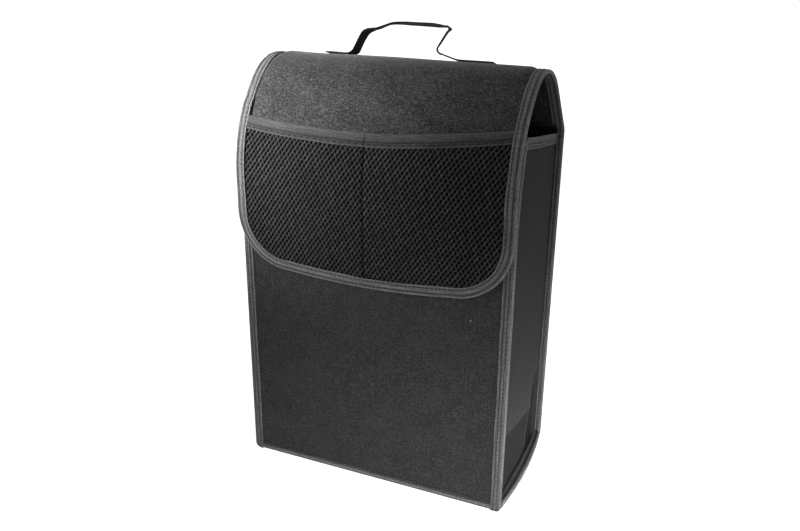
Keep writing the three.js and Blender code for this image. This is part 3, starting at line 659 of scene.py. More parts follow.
def wall_line(radius_shift):
    """The wall seen from above, as x and y: flange, quarter bend, wall, quarter bend, flange.
    radius_shift moves it square to itself, outwards from the bag."""
    turn = np.linspace(0, np.pi / 2, 7)
    radius = BEND_RADIUS + radius_shift
    bend_x = WALL_X + BEND_RADIUS - radius * np.sin(turn)
    bend_y = FLANGE_Y - BEND_RADIUS + radius * np.cos(turn)
    tip_x = np.linspace(HALF_WIDTH - FLANGE_INSET, WALL_X + BEND_RADIUS, 5)[:-1]
    back_x = np.concatenate([tip_x, bend_x])
    back_y = np.concatenate([tip_x * 0 + FLANGE_Y + radius_shift, bend_y])
    wall_y = np.linspace(FLANGE_Y - BEND_RADIUS, BEND_RADIUS - FLANGE_Y, WALL_COLUMNS)[1:-1]
    wall_x = wall_y * 0 + WALL_X - radius_shift
    return np.concatenate([back_x, wall_x, back_x[::-1]]), np.concatenate([back_y, wall_y, -back_y[::-1]])


def side_wall(side, thickness):
    """Grid of one face of a side wall. thickness is the distance from its middle, inwards. Beside the
    seams the cloth isn't turned out at its foot, so it reaches down between the foot tape's legs."""
    line_x, line_y = wall_line(thickness)
    height = np.linspace(0, 1, WALL_ROWS)[:, None] ** ROW_CROWDING
    top = side_top(line_y) - TOP_INSET
    low = FOOT_Z - CORNER_REACH * (1 - calm(line_y)) * (1 - ease(line_x, WALL_X, WALL_X + 3))
    z = low + (top - low) * height
    foot = calm(line_y) * hump(z, FOOT_Z, FOOT_BEND)
    out = foot * (HALF_WIDTH - FOOT_INSET - line_x)
    x = line_x + out + crease(line_y, z)
    return np.stack([side * x, line_y + pull(line_y, z), z - foot * thickness], axis=-1)


for word, side in (("left", -1), ("right", 1)):
    outer, inner = side_wall(side, -SIDE_FELT / 2), side_wall(side, SIDE_FELT / 2)
    lengths = walked(outer[MEASURED_ROW])
    flat_cloth = together(lengths, outer[..., 2])
    line_y, z = wall_line(0)[1], outer[..., 2]
    from_ridge = line_y - np.interp(z, RIDGE_HEIGHTS, RIDGE_PLACES)
    # Painted light and shade on the old fold: a painted highlight along the ridge, painted light above the
    # level fold, and painted shade below it and in the hollow behind the ridge.
    painted_fold_shading = 1.6 * hump(from_ridge, -0.9, 1.5) * ease(z, 8, 20) * (1 - ease(z, 90, 112))
    above = np.maximum(0, z - FOLD_HEIGHT)
    painted_fold_shading = painted_fold_shading + 0.6 * np.exp(-above / 32) * (above > 0) * (from_ridge < 0) * calm(line_y)
    painted_fold_shading = painted_fold_shading - 0.25 * ease(FOLD_HEIGHT - z, 0, 4) * (from_ridge < -1) * calm(line_y)
    painted_fold_shading = painted_fold_shading - 0.55 * ease(from_ridge, 0.5, 4) * (1 - ease(z, 85, 120)) * calm(line_y)
    wall = layer(f"{word}_side_wall", outer, inner, flat_cloth, 1 + painted_fold_shading)
    dress(wall, wall_felt, "bag", f"{word}_side_felt")
print("A side wall is", round(lengths[-1]), "mm wide when flat")

# %% [markdown]
# ## Lining and board
#
# Inside, the stiff boards are covered by a thin lining. The boards are hard and flat, so the CAD
# solids stay and only get a board's colour. The lining is cloth, so it is a new piece with slow waves.

# %% Board material
board_card, tree, board_shader = fresh_material("board_card")
pulp = stretched_noise(tree, node(tree, "TexCoord").outputs["Object"], 160, (1, 1, 0.4), 4)
tint = blended(tree, pulp, (0.22, 0.18, 0.13, 1), (0.42, 0.36, 0.27, 1))
tree.links.new(tint, board_shader.inputs["Base Color"])
set_values(board_shader, Roughness=0.88)
press = node(tree, "Bump", {"Height": pulp, "Distance": 0.0002, "Strength": 0.5})
tree.links.new(press.outputs["Normal"], board_shader.inputs["Normal"])
for name in ("front_board", "back_board", "bottom_board"):
    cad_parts[name].data.materials.clear()
    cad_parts[name].data.materials.append(board_card)

# %% Linings
INSIDE_X = WALL_X - SIDE_FELT / 2 - PLY_GAP
LINING_LOW = PANEL_INSET + FELT + PLY_GAP
LINING_DEPTH = LINING_LOW + BOARD + PLY_GAP
across, up = np.meshgrid(steps(-INSIDE_X, INSIDE_X, 6), steps(LINING_LOW, FRONT_HEIGHT - UNDER_HEM, 6))
loose = 0.3 + waves(across, up, 0.3) * ease(up, LINING_LOW, 40) * (1 - ease(up, 340, 375))
front_lining = layer("front_inner_lining", front_point(across, up, LINING_DEPTH),
                     front_point(across, up, LINING_DEPTH + LINING + np.abs(loose)), together(across, up))
dress(front_lining, lining_cloth, "bag", "front_lining")


def back_point(x, s, depth):
    """A point of the flat back wall: s up from the fold's height, depth in from its outer face."""
    return together(x, HALF_DEPTH - depth, BACK_HEIGHT + s)


board_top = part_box("back_board")[1].z * 1000 - BACK_HEIGHT
covered = LINING_DEPTH - PANEL_INSET - FELT - 0.1
turn_in = np.linspace(0, covered, 5)
inner_x, rows = steps(-INSIDE_X, INSIDE_X, 6), steps(LINING_LOW - BACK_HEIGHT, board_top, 6)
across, along = np.meshgrid(np.concatenate([0 * turn_in - INSIDE_X, inner_x, 0 * turn_in + INSIDE_X]),
                            np.concatenate([rows, 0 * turn_in + board_top]))
side_over = np.concatenate([turn_in[::-1], 0 * inner_x, turn_in])
over = np.maximum(side_over, np.concatenate([0 * rows, turn_in])[:, None])
outside = over > 0
loose = (0.3 + np.abs(waves(across, along, 0.3))) * (1 - ease(along, -40, -5)) * ~outside
# near is the face that lies a hair off the board, over its edges too, and far is the one that is seen
near = back_point(across + 0.05 * np.sign(across), along + 0.15 * outside, LINING_DEPTH - over)
far = back_point(across + 0.2 * np.sign(across), along + 0.7 * outside, LINING_DEPTH + LINING + loose - over)
back_lining = layer("back_inner_lining", near, far, together(across + side_over, along + over))
print("The back board ends", round(-board_top, 2), "mm under the fold, and the lining covers its edges")
dress(back_lining, lining_cloth, "bag", "back_lining")

FLOOR_Y = HALF_DEPTH - LINING_DEPTH - LINING - PLY_GAP
floor_low = PANEL_INSET + FELT + BOARD + 2 * PLY_GAP
across, deep = np.meshgrid(steps(-INSIDE_X, INSIDE_X, 6), steps(-FLOOR_Y, FLOOR_Y, 6))
loose = np.abs(0.3 + waves(across, deep, 0.3))
bottom_lining = layer("bottom_inner_lining", together(across, deep, floor_low + LINING + loose),
                      together(across, deep, floor_low), together(across, deep))
dress(bottom_lining, lining_cloth, "bag", "bottom_lining")

# %% [markdown]
# ## Folded tape
#
# Every edge is bound: a woven tape is folded round the layers and sewn through. Its section is a
# leg, a half circle and a second leg, carried along the edge. What makes it look like tape is the
# relief: the rolled edge stands up, a groove follows, and the stitches pull a second groove in. The
# grooves carry painted shade and the raised parts painted highlights. The section, its relief and
# its painted shade are one function of the distance along the section.

# %% Section of a folded tape
LEG_POINTS = 26
FOLD_POINTS = 9
GROOVE_ACROSS = 3.7
STITCH_ACROSS = 8.7
STITCH_PITCH = 4.6
STITCH_SINK = 0.28
SEAM_GROOVE = 8.0
SEAM_STITCH = 4.7
SIDE_HEM_GROOVE = 6.1
TAPE_STEP = 1.15
TAPE_WANDER = 0.25
TAPE_END = 3.0


def relief(across, along, groove_at=GROOVE_ACROSS, stitch_at=STITCH_ACROSS):
    """Height of the tape's outer face over its flat one, and its painted light and shade: a painted
    highlight on the fold's edge, a groove at groove_at and a second one at stitch_at, where the stitches
    pull, deepest at their ends, both painted dark as shade. Between them is a swell with a painted
    highlight, and a thin selvage, painted pale, ends the tape. Each is a bell of its own width."""
    dimple = 0.55 + 0.45 * np.cos(2 * np.pi * along / STITCH_PITCH)
    swell_at = (groove_at + stitch_at) / 2
    stitch_bell = hump(across, stitch_at, 0.7) * dimple
    height = 0.25 * hump(across, swell_at, 1.2) - 0.45 * hump(across, groove_at, 0.6) - 0.5 * stitch_bell
    shade = 0.9 + 0.75 * hump(across, 0.6, 1.0) + 0.35 * hump(across, swell_at, 0.9)
    shade = shade + 0.5 * hump(across, 10.5, 0.5) - 0.6 * hump(across, groove_at, 0.8) - 0.75 * stitch_bell
    return height + 0.15 * hump(across, 10.3, 0.5), shade


def section(stack, back_reach, front_reach):
    """Points (across, through) of the tape's middle line, their outward directions, and the distance
    along the section from the outermost point, negative on the back leg."""
    centre, radius = taped_half(stack), fold_radius(stack) + TAPE / 2
    back = np.linspace(back_reach, centre, LEG_POINTS)[:-1]
    turn = np.linspace(-np.pi / 2, np.pi / 2, FOLD_POINTS)
    front = np.linspace(centre, front_reach, LEG_POINTS)[1:]
    middle = np.concatenate([
        np.stack([back, 0 * back - radius], -1),
        np.stack([centre - radius * np.cos(turn), radius * np.sin(turn)], -1),
        np.stack([front, 0 * front + radius], -1)])
    normal = np.concatenate([
        np.stack([0 * back, 0 * back - 1], -1),
        np.stack([-np.cos(turn), np.sin(turn)], -1),
        np.stack([0 * front, 0 * front + 1], -1)])
    gone = walked(middle)
    return middle, normal, gone - np.interp(0, middle[:, 1], gone)


def tape(name, stack, back_reach, front_reach, put, along, body, replaced, groove_at=GROOVE_ACROSS,
         stitch_at=STITCH_ACROSS):
    """A folded tape. put(across, through, along) gives the place of a point of the section at a
    distance along the edge. Its legs end a little unevenly, by TAPE_WANDER millimetres. At its cut
    ends the relief dies out and painted shade darkens the tape."""
    middle, normal, gone = section(stack, back_reach, front_reach)
    run = along[:, None]
    uneven = TAPE_WANDER * (np.sin(run / 19 + stack) + 0.5 * np.sin(run / 7.3))
    reach = np.clip((middle[:, 0] - 5) / 6, 0, 1)
    across = middle[:, 0] + uneven * reach
    height, shade = relief(middle[:, 0], run, groove_at, stitch_at)
    from_end = ease(np.minimum(along - along[0], along[-1] - along), 0, TAPE_END)[:, None]
    height = height * (middle[:, 0] > taped_half(stack) - 0.5) * from_end
    # Painted shade darkens the tape's cut ends.
    shade = shade * (0.5 + 0.5 * from_end)
    thin = TAPE / 2 * (1 - 0.6 * np.clip((middle[:, 0] - front_reach + 0.5) / 0.5, 0, 1))
    outer_rise = thin + height
    outer = put(across + normal[:, 0] * outer_rise, middle[:, 1] + normal[:, 1] * outer_rise, run)
    inner = put(across - normal[:, 0] * TAPE / 2, middle[:, 1] - normal[:, 1] * TAPE / 2 + 0 * run, run)
    made = dress(layer(name, outer, inner, together(gone, run), shade), binding_tape, body, *replaced)
    return made


# %% [markdown]
# ## Stitches
#
# A stitch is a short piece of thread whose two ends dip into the cloth. One small template, six
# sided and five rings long, is copied to every place by array arithmetic: the row's direction and the
# cloth's normal turn it.

# %% Rows of stitches
THREAD_RADIUS = 0.34
THREAD_SIDES = 6
STITCH_LENGTH = 3.1


def stitch_row(name, line, normals, body, pitch=STITCH_PITCH):
    """A row of stitches along a line of points in millimetres, on cloth with those normals.
    Each thread point = middle + t * half length * direction + ring radius * (side, normal), less a dip
    that grows with t squared."""
    gone = walked(line)
    at = np.arange(pitch / 2, gone[-1] - STITCH_LENGTH / 2, pitch)
    middle = sampled(line, gone, at)
    ahead = unit(sampled(line, gone, at + 0.5) - middle)
    up = sampled(normals, gone, at)
    up = unit(up - ahead * (up * ahead).sum(1, keepdims=True))
    aside = np.cross(up, ahead)
    t = np.array([-1, -0.72, 0, 0.72, 1])
    ring_radius = THREAD_RADIUS * np.array([0.3, 0.9, 1, 0.9, 0.3])
    angle = np.arange(THREAD_SIDES) * 2 * np.pi / THREAD_SIDES
    along_part = ahead[:, None, None] * (t * STITCH_LENGTH / 2)[:, None, None]
    side_part = aside[:, None, None] * (ring_radius[:, None] * np.cos(angle))[..., None]
    up_part = up[:, None, None] * (ring_radius[:, None] * np.sin(angle) - 0.5 * t[:, None] ** 2)[..., None]
    points = to_metres((middle[:, None, None] + along_part + side_part + up_part).reshape(-1, 3))
    start, spoke = np.meshgrid(np.arange(len(t) - 1) * THREAD_SIDES, np.arange(THREAD_SIDES), indexing="ij")
    beside, above = (spoke + 1) % THREAD_SIDES, start + THREAD_SIDES
    tube = np.stack([start + spoke, start + beside, above + beside, above + spoke], -1)
    first = (np.arange(len(at)) * len(t) * THREAD_SIDES)[:, None, None]
    tubes = (tube.reshape(1, -1, 4) + first).reshape(-1, 4).tolist()
    cap = np.arange(THREAD_SIDES) + first[:, 0]
    caps = cap[:, ::-1].tolist() + (cap + above[-1, 0]).tolist()
    mesh = bpy.data.meshes.new(name)
    mesh.from_pydata(points.tolist(), [], tubes + caps)
    mesh.shade_smooth()
    return dress(linked(name, mesh), sewing_thread, body)


def row_on(put, across, through, along):
    """A line of points and the outward normals of a tape's outer face, for stitch_row."""
    line = put(across, through, along)
    over = put(across, through + 1, along)
    return line, over - line


# %% Seam tapes of the box
FOOT_BOW = 5.5


def front_seam(side):
    """Places the front seam tape's section at height z."""
    def put(across, through, z):
        z = z + foot_round(across, FRONT_ROUND[side]) * np.clip(1 - z / ROUND_FADE, 0, 1)
        return together(side * (HALF_WIDTH - across), -HALF_DEPTH + lean(z) + SEAM_HALF - through, z)
    return put


def back_seam(side):
    """Places the back seam tape's section at the distance s along the long sheet."""
    def put(across, through, s):
        s = s + foot_round(across, BACK_ROUND) * np.clip(1 - (s + BACK_HEIGHT) / ROUND_FADE, 0, 1)
        return flap_point(side * (HALF_WIDTH - across), s, SEAM_HALF - through)
    return put


def side_foot(side):
    """Places the side foot tape's section at the place y. Its edge bows out most in the middle."""
    def put(across, through, y):
        bowed = FOOT_BOW * (1 - (y / BETWEEN_SEAMS) ** 2) * np.clip(1 - across / TAPE_WIDTH, 0, 1)
        return together(side * (HALF_WIDTH - across + bowed), y, SEAM_HALF + through)
    return put


def side_hem(side):
    """Places the side wall hem's section at the place y."""
    def put(across, through, y):
        return together(side * (WALL_X + through), y + pull(y, side_top(y)), side_top(y) - across)
    return put


FLANGE_REACH = FLANGE - BEND_RADIUS / 2
for word, side in (("left", -1), ("right", 1)):
    rows = {
        "front_seam": (SEAM_STACK, front_seam(side), steps(0, FRONT_HEIGHT, TAPE_STEP)),
        "back_seam": (SEAM_STACK, back_seam(side), steps(-BACK_HEIGHT, -HINGE_REACH, TAPE_STEP)),
        "side_hem": (SIDE_FELT, side_hem(side), steps(-BETWEEN_SEAMS, BETWEEN_SEAMS, TAPE_STEP)),
    }
    for kind, (stack, put, along) in rows.items():
        if kind == "side_hem":
            back, groove_at, stitch_at, node_name = TAPE_WIDTH, SIDE_HEM_GROOVE, STITCH_ACROSS, kind
        else:
            back, groove_at, stitch_at, node_name = FLANGE_REACH, SEAM_GROOVE, SEAM_STITCH, kind + "_tape"
        tape(f"{word}_{kind}_binding", stack, back, TAPE_WIDTH, put, along, "bag", [f"{word}_{node_name}"],
             groove_at, stitch_at)
        line, normals = row_on(put, stitch_at, taped_half(stack) - STITCH_SINK, along)
        stitch_row(f"{word}_{kind}_stitches", line, normals, "bag")
    put, along = side_foot(side), steps(-BETWEEN_SEAMS, BETWEEN_SEAMS, TAPE_STEP)
    tape(f"{word}_foot_binding", SEAM_STACK, TAPE_WIDTH, FLANGE_REACH, put, along, "bag",
         [f"{word}_foot_tape"])
    line, normals = row_on(put, FLANGE_REACH - 1.5, SEAM_HALF - 0.1, along)
    stitch_row(f"{word}_foot_stitches", line, normals, "bag")
print("Box tapes and stitches are on")

# %% Hem of the front panel, under the flap


def front_hem(across, through, x):
    """Places the front hem's section at the place x."""
    z = FRONT_HEIGHT - across
    return together(x, -HALF_DEPTH + lean(z) + taped_half(HEM_STACK) - through, z)


hem_x = steps(-BETWEEN_TAPES, BETWEEN_TAPES, TAPE_STEP)
tape("front_hem_binding", HEM_STACK, TAPE_WIDTH, TAPE_WIDTH, front_hem, hem_x, "bag", ["front_hem"])
line, normals = row_on(front_hem, STITCH_ACROSS, taped_half(HEM_STACK) - STITCH_SINK, hem_x)
stitch_row("front_hem_stitches", line, normals, "bag")

# %% Tapes round the front and back foot
FOOT_TAPE_HEIGHT = 8.0
FOOT_TURN = 2.4


def corner_tape(name, way, replaced):
    """A tape that wraps the box's lower front or back corner: up the panel, round, and under the
    bottom. way is -1 for the front. Its face swells between two grooves. The swell gets a painted
    highlight, the upper groove painted shade, and the part that turns under the bottom is painted
    darker, as shade."""
    radius = FOOT_TURN
    turn = np.linspace(0, np.pi / 2, 8)
    rise_z = np.linspace(FOOT_TAPE_HEIGHT, radius, 12)[:-1]
    under_y = np.linspace(HALF_DEPTH - radius, HALF_DEPTH - TAPE_WIDTH, 10)[1:]
    line_y = np.concatenate([rise_z * 0 + HALF_DEPTH, HALF_DEPTH - radius + radius * np.cos(turn), under_y])
    line_z = np.concatenate([rise_z, radius - radius * np.sin(turn), under_y * 0])
    out_y = np.concatenate([rise_z * 0 + 1, np.cos(turn), under_y * 0])
    out_z = np.concatenate([rise_z * 0, -np.sin(turn), under_y * 0 - 1])
    gone = walked(together(line_y, line_z))
    x = steps(-BETWEEN_TAPES - 0.2, BETWEEN_TAPES + 0.2, TAPE_STEP)[:, None]
    pulled = 0.65 + 0.35 * np.cos(2 * np.pi * x / STITCH_PITCH)
    rise_by = np.where(line_z > 1, 0.25 * hump(gone, 4.6, 1.6) - 0.35 * hump(gone, 1.9, 0.5) * pulled, 0)
    thin = TAPE * (1 - 0.6 * np.clip(1 - gone / 0.6, 0, 1))
    # Painted highlight on the swell, painted shade in the upper groove and where the tape turns under.
    shade = 0.72 + 0.55 * hump(gone, 4.2, 1.3) - 0.6 * hump(gone, 0.9, 0.8) * pulled
    shade = shade - 0.3 * ease(gone, 6.5, 9)
    full = [x + 0 * line_y, way * (line_y - TAPE * out_y), line_z - TAPE * out_z]
    face = [x + 0 * line_y, way * (line_y + out_y * (rise_by + thin - TAPE)), line_z + out_z * (thin - TAPE)]
    made = layer(name, together(*face), together(*full), together(gone, x), shade)
    dress(made, binding_tape, "bag", replaced)
    x_line = x[:, 0]
    seam = np.stack([x_line, 0 * x_line + way * (HALF_DEPTH - 0.15), 0 * x_line + FOOT_TAPE_HEIGHT - 1.9], -1)
    stitch_row(name + "_stitches", seam, np.tile([0.0, way, 0.0], (len(seam), 1)), "bag")


corner_tape("front_foot_binding", -1, "front_foot_tape")
corner_tape("back_foot_binding", 1, "back_foot_tape")

# %% [markdown]
# ## Tape round the flap
#
# The flap's tape turns round two wide corners. Its path is a line of (x, s) points on the cut, and
# its section is laid square to that line before the cut is bent over the arch. Where the mesh lies
# under it, the fold opens a little more.

# %% Outline of the flap
bottom_half = HALF_WIDTH - FLAP_CORNER
corner_turn = np.linspace(0, np.pi / 2, 60)[1:]
down_s = steps(HINGE_REACH, corner_start, 1.5)
bottom_x = np.linspace(-bottom_half, 0, 80)[1:]
left_x = np.concatenate([0 * down_s - HALF_WIDTH, -bottom_half - FLAP_CORNER * np.cos(corner_turn), bottom_x])
left_s = np.concatenate([down_s, corner_start + FLAP_CORNER * np.sin(corner_turn),
                         FLAP_LENGTH - FLAP_BOW * (bottom_x / bottom_half) ** 2])
edge_x = np.concatenate([left_x, -left_x[-2::-1]])
edge_s = np.concatenate([left_s, left_s[-2::-1]])
edge_gone = walked(together(edge_x, edge_s))
inward_x, inward_s = unit(together(np.gradient(edge_s, edge_gone), -np.gradient(edge_x, edge_gone))).T
mesh_at_edge = hem_s(edge_x)
edge_stack = FELT + (MESH + PLY_GAP) * ease(edge_s, mesh_at_edge - 18, mesh_at_edge - 9)
FLAP_INNER_DEPTH = FLAP_FELT_DEPTH + FELT + PLY_GAP + TAPE
print("The flap's tape is", round(edge_gone[-1]), "mm long")

# %% Flap tape
middle, normal, gone = section(FELT, TAPE_WIDTH, TAPE_WIDTH)
stack_here = edge_stack[:, None]
thicker = (stack_here - FELT) / 2
run = edge_gone[:, None]
swing = 0.3 * (np.sin(run / 21) + 0.6 * np.sin(run / 8.1 + 2)) * np.clip((middle[:, 0] - 5) / 6, 0, 1)
stitch_x, stitch_s = edge_x + inward_x * STITCH_ACROSS, edge_s + inward_s * STITCH_ACROSS
stitch_gone = walked(together(stitch_x, stitch_s))[:, None]
face_rise, face_shade = relief(middle[:, 0], stitch_gone)
face_rise = face_rise * (middle[:, 0] > taped_half(FELT))


def flap_tape_point(across, through, stack):
    """Places the flap tape's section: across runs inwards from the outline, and through is measured
    from the middle of its fold, whose inner face stays at the same depth."""
    depth = FLAP_INNER_DEPTH - taped_half(stack) - through
    x = edge_x[:, None] + inward_x[:, None] * across
    return flap_point(x, edge_s[:, None] + inward_s[:, None] * across, depth)


def flap_tape_face(offset):
    """One face of the flap tape, offset from the tape's middle line."""
    across = middle[:, 0] + normal[:, 0] * offset + swing
    through = middle[:, 1] + normal[:, 1] * (offset + thicker)
    return flap_tape_point(across, through, stack_here)


flap_binding = layer("flap_binding", flap_tape_face(TAPE / 2 + face_rise), flap_tape_face(0 * run - TAPE / 2),
                     together(gone, run), face_shade)
dress(flap_binding, binding_tape, "flap", "flap_edge_tape")

surface = taped_half(stack_here) - STITCH_SINK
stitch_line = flap_tape_point(np.array([[STITCH_ACROSS]]), surface, stack_here)[:, 0]
stitch_up = flap_tape_point(np.array([[STITCH_ACROSS]]), surface + 1, stack_here)[:, 0] - stitch_line
stitch_row("flap_binding_stitches", stitch_line, stitch_up, "flap")

# %% Tape over the hinge: shaped round the felt's fold, it is put in no body and its transform is baked


def hinge_tape(name, side):
    """The short stretch of tape over the fold, which opens from the seam's stack to the flap's."""
    middle, normal, gone = section(SEAM_STACK, FLANGE_REACH, TAPE_WIDTH)
    s = steps(-HINGE_REACH, HINGE_REACH, FOLD_STEP)[:, None]
    rise_by, shade = relief(middle[:, 0], s, SEAM_GROOVE, SEAM_STITCH)
    rise_by = rise_by * (middle[:, 0] > SEAM_HALF)
    faces = []
    for offset in (TAPE / 2 + rise_by, 0 * s - TAPE / 2):
        across = middle[:, 0] + normal[:, 0] * offset
        through = middle[:, 1] + normal[:, 1] * offset
        late = ease(s, -HINGE_REACH, HINGE_REACH)
        squeezed = through * (1 + late * (taped_half(FELT) / SEAM_HALF - 1))
        depth = SEAM_HALF + late * (FLAP_INNER_DEPTH - taped_half(FELT) - SEAM_HALF) - squeezed
        faces.append(flap_point(side * (HALF_WIDTH - across), s, depth))
    return layer(name, *faces, together(gone, s), shade)


fold_start = to_metres(flap_point(0.0, -HINGE_REACH, 3.0))
fold_end = to_metres(flap_point(0.0, HINGE_REACH, 3.0))
for word, side in (("left", -1), ("right", 1)):
    made = hinge_tape(f"{word}_hinge_tape", side)
    made.data.materials.append(binding_tape)
    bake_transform(made)
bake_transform(hinge_fold)

# %% [markdown]
# ## Mesh pockets
#
# Spacer mesh is knitted in two faces: an open front with staggered oval holes and a closed back,
# here coloured near black as painted shade inside the holes. Drawing the holes as a picture would
# fail close up, so the front is a real honeycomb. One cell is two rings of twelve points: the border,
# which its neighbours share, and the hole, which lies a little deeper. The raised strands are painted
# paler as highlights and the holes darker as shade. Array arithmetic copies the cell to every place
# on the cut, and then the cut is bent onto the flap. The yarn gets its thickness from a Solidify modifier.

# %% One cell of the mesh
PITCH_X = 4.88
PITCH_S = 3.94
HOLE_X = 0.88
HOLE_S = 2.2
POINT = 1.0
GRAIN_TURN = np.radians(4.5)
HOLE_TURN = np.radians(12)
HOLE_DEPTH = 0.25
# The holes' tone is painted shade.
HOLE_PAINTED_SHADE = 0.25

half_x, half_s = PITCH_X / 2, PITCH_S / 2
border = np.array([
    [half_x, 0], [half_x, half_s - POINT], [half_x / 2, half_s], [0, half_s + POINT],
    [-half_x / 2, half_s], [-half_x, half_s - POINT], [-half_x, 0], [-half_x, POINT - half_s],
    [-half_x / 2, -half_s], [0, -half_s - POINT], [half_x / 2, -half_s], [half_x, POINT - half_s]])
border_height = np.array([0.05, 0.1, 0.15, 0.1, 0, 0.1, 0.05, 0.1, 0.15, 0.1, 0, 0.1])
# Raised strands are painted paler and low ones darker: painted highlights and shade.
border_painted_shading = 0.85 + 2.0 * border_height
RING_POINTS = len(border)
clock = np.arange(RING_POINTS) * 2 * np.pi / RING_POINTS


def turned_by(points, angle):
    """Points (x, s) turned by an angle: x cos - s sin, x sin + s cos."""
    return points @ np.array([[np.cos(angle), np.sin(angle)], [-np.sin(angle), np.cos(angle)]])


hole_ring = turned_by(np.stack([HOLE_X * np.cos(clock), HOLE_S * np.sin(clock)], -1), HOLE_TURN)
cell = np.stack([border, hole_ring])
cell_height = np.concatenate([border_height, np.full(RING_POINTS, -HOLE_DEPTH)])
cell_painted_shading = np.concatenate([border_painted_shading, np.full(RING_POINTS, HOLE_PAINTED_SHADE)])

# %% Lay the cells on the flap
MESH_DEPTH = TAPE + PLY_GAP
MESH_INSET = 3.0
MESH_ROWS = 26
MESH_COLUMNS = 34
YARN = 0.5
row, column = np.meshgrid(np.arange(-MESH_ROWS, MESH_ROWS + 1), np.arange(-MESH_COLUMNS, MESH_COLUMNS + 1),
                          indexing="ij")
lattice = np.stack([(column + 0.5 * (row % 2)) * PITCH_X, row * PITCH_S], -1).reshape(-1, 2)
mesh_middle = np.array([0.0, FLAP_LENGTH - POCKET_DEPTH / 2])
placed = turned_by(lattice, GRAIN_TURN) + mesh_middle
EDGE_ROOM = MESH_INSET + PITCH_X / 2
corner_down = np.maximum(0, placed[:, 1] - corner_start)
room = HALF_WIDTH - EDGE_ROOM - (FLAP_CORNER - EDGE_ROOM) + np.sqrt(
    np.maximum(0, (FLAP_CORNER - EDGE_ROOM) ** 2 - corner_down**2))
below_hem = placed[:, 1] - half_s - POINT > hem_s(placed[:, 0]) + MESH_INSET
kept = (np.abs(placed[:, 0]) < room) & below_hem & (corner_down < FLAP_CORNER - EDGE_ROOM)
cells = lattice[kept]
flat_points = (cells[:, None, None] + cell).reshape(-1, 2)
_, first_seen, shared = np.unique(np.round(flat_points, 3), axis=0, return_index=True, return_inverse=True)
shared = shared.ravel()
ring = np.arange(RING_POINTS)
after = np.roll(ring, -1)
quads = np.stack([ring, after, RING_POINTS + after, RING_POINTS + ring], -1)
quads = shared[(quads + (np.arange(len(cells)) * 2 * RING_POINTS)[:, None, None]).reshape(-1, 4)]
x, s = (turned_by(flat_points[first_seen], GRAIN_TURN) + mesh_middle).T
height = np.tile(cell_height, len(cells))[first_seen]
tone = np.tile(cell_painted_shading, len(cells))[first_seen]
from_seam = x - seam_x(s)
# Painted shade in the seam's groove and a painted highlight on its right bank.
tone = tone * (1 - 0.8 * hump(from_seam, -0.2, 1.05) + 0.45 * hump(from_seam, 2.0, 0.9))
tone = tone * (1 + 0.25 * np.sin(x / 2.3 + s / 5) * np.sin(s / 3.1 - x / 7))
wobble = 0.12 * np.sin(x / 3.1 + 1.7 * np.sin(s / 11)) + 0.1 * np.sin(s / 2.3 + x / 17)
depth = MESH_DEPTH + 0.3 - height - pocket_lift(x, s) + 1.0 * hump(from_seam, 0, 1.7)
points = to_metres(flap_point(x + wobble, s, depth))
pocket_mesh = piece("pocket_front_mesh", points, quads[:, ::-1], np.stack([x, s], -1) / 1000, sharp=80)
facing = np.zeros(len(pocket_mesh.data.polygons) * 3, np.float32)
pocket_mesh.data.polygons.foreach_get("normal", facing)
if facing.reshape(-1, 3)[:, 1].mean() > 0:
    pocket_mesh.data.flip_normals()
add_shade(pocket_mesh, tone)
thick = pocket_mesh.modifiers.new("yarn thickness", "SOLIDIFY")
thick.thickness = YARN / 1000
thick.offset = -1
dress(pocket_mesh, mesh_yarn, "flap", "pocket_mesh")
print("Mesh cells:", len(cells))

# %% The mesh's back face, coloured near black as painted shade behind the holes
half, end_s, bow = flap_rows(MESH_INSET, corner_start, 3)
share = np.linspace(-1, 1, 91)
low_x = half[:, None] * share
low_s = end_s[:, None] + bow[:, None] * (1 - share**2)
drop = np.linspace(0, 1, 40)[:-1, None]
high_x = (HALF_WIDTH - MESH_INSET) * share + 0 * drop
high_s = (hem_s(high_x) + 2) * (1 - drop) + corner_start * drop
x, s = np.concatenate([high_x, low_x]), np.concatenate([high_s, low_s])
depth = MESH_DEPTH + 1.0 - pocket_lift(x, s) + 0.35 * hump(x, seam_x(s), 2.5)
pocket_back = layer("pocket_back_mesh", flap_point(x, s, depth), flap_point(x, s, depth + 0.15),
                    together(x, s))
dress(pocket_back, mesh_back_painted_shade, "flap")

# %% Hem of the pockets
HEM_LEG = 12.9
HEM_GROOVE = 8.2
HEM_STITCH = 10.3
HEM_STITCH_PITCH = 7.2
HEM_TONE = 0.6
centre, radius = taped_half(MESH), fold_radius(MESH) + TAPE / 2
turn = np.linspace(-np.pi / 12, np.pi / 2, 9)
leg = np.linspace(centre, HEM_LEG, 34)[1:]
hem_across = np.concatenate([centre - radius * np.cos(turn), leg])
hem_through = np.concatenate([radius * np.sin(turn), 0 * leg + radius])
out_across = np.concatenate([-np.cos(turn), 0 * leg])
out_through = np.concatenate([np.sin(turn), 0 * leg + 1])
hem_gone = walked(together(hem_across, hem_through))
hem_x = steps(-BETWEEN_TAPES - 0.2, BETWEEN_TAPES + 0.2, TAPE_STEP)[:, None]


def hem_point(across, through, x):
    """Places the pocket hem's section at the place x: across runs down the flap from the mouth."""
    s = hem_s(x) + across
    sunk = 0.4 * hump(x, seam_x(s), 1.5) - pocket_lift(x, s)
    return flap_point(x, s, MESH_DEPTH + MESH / 2 - through + sunk)


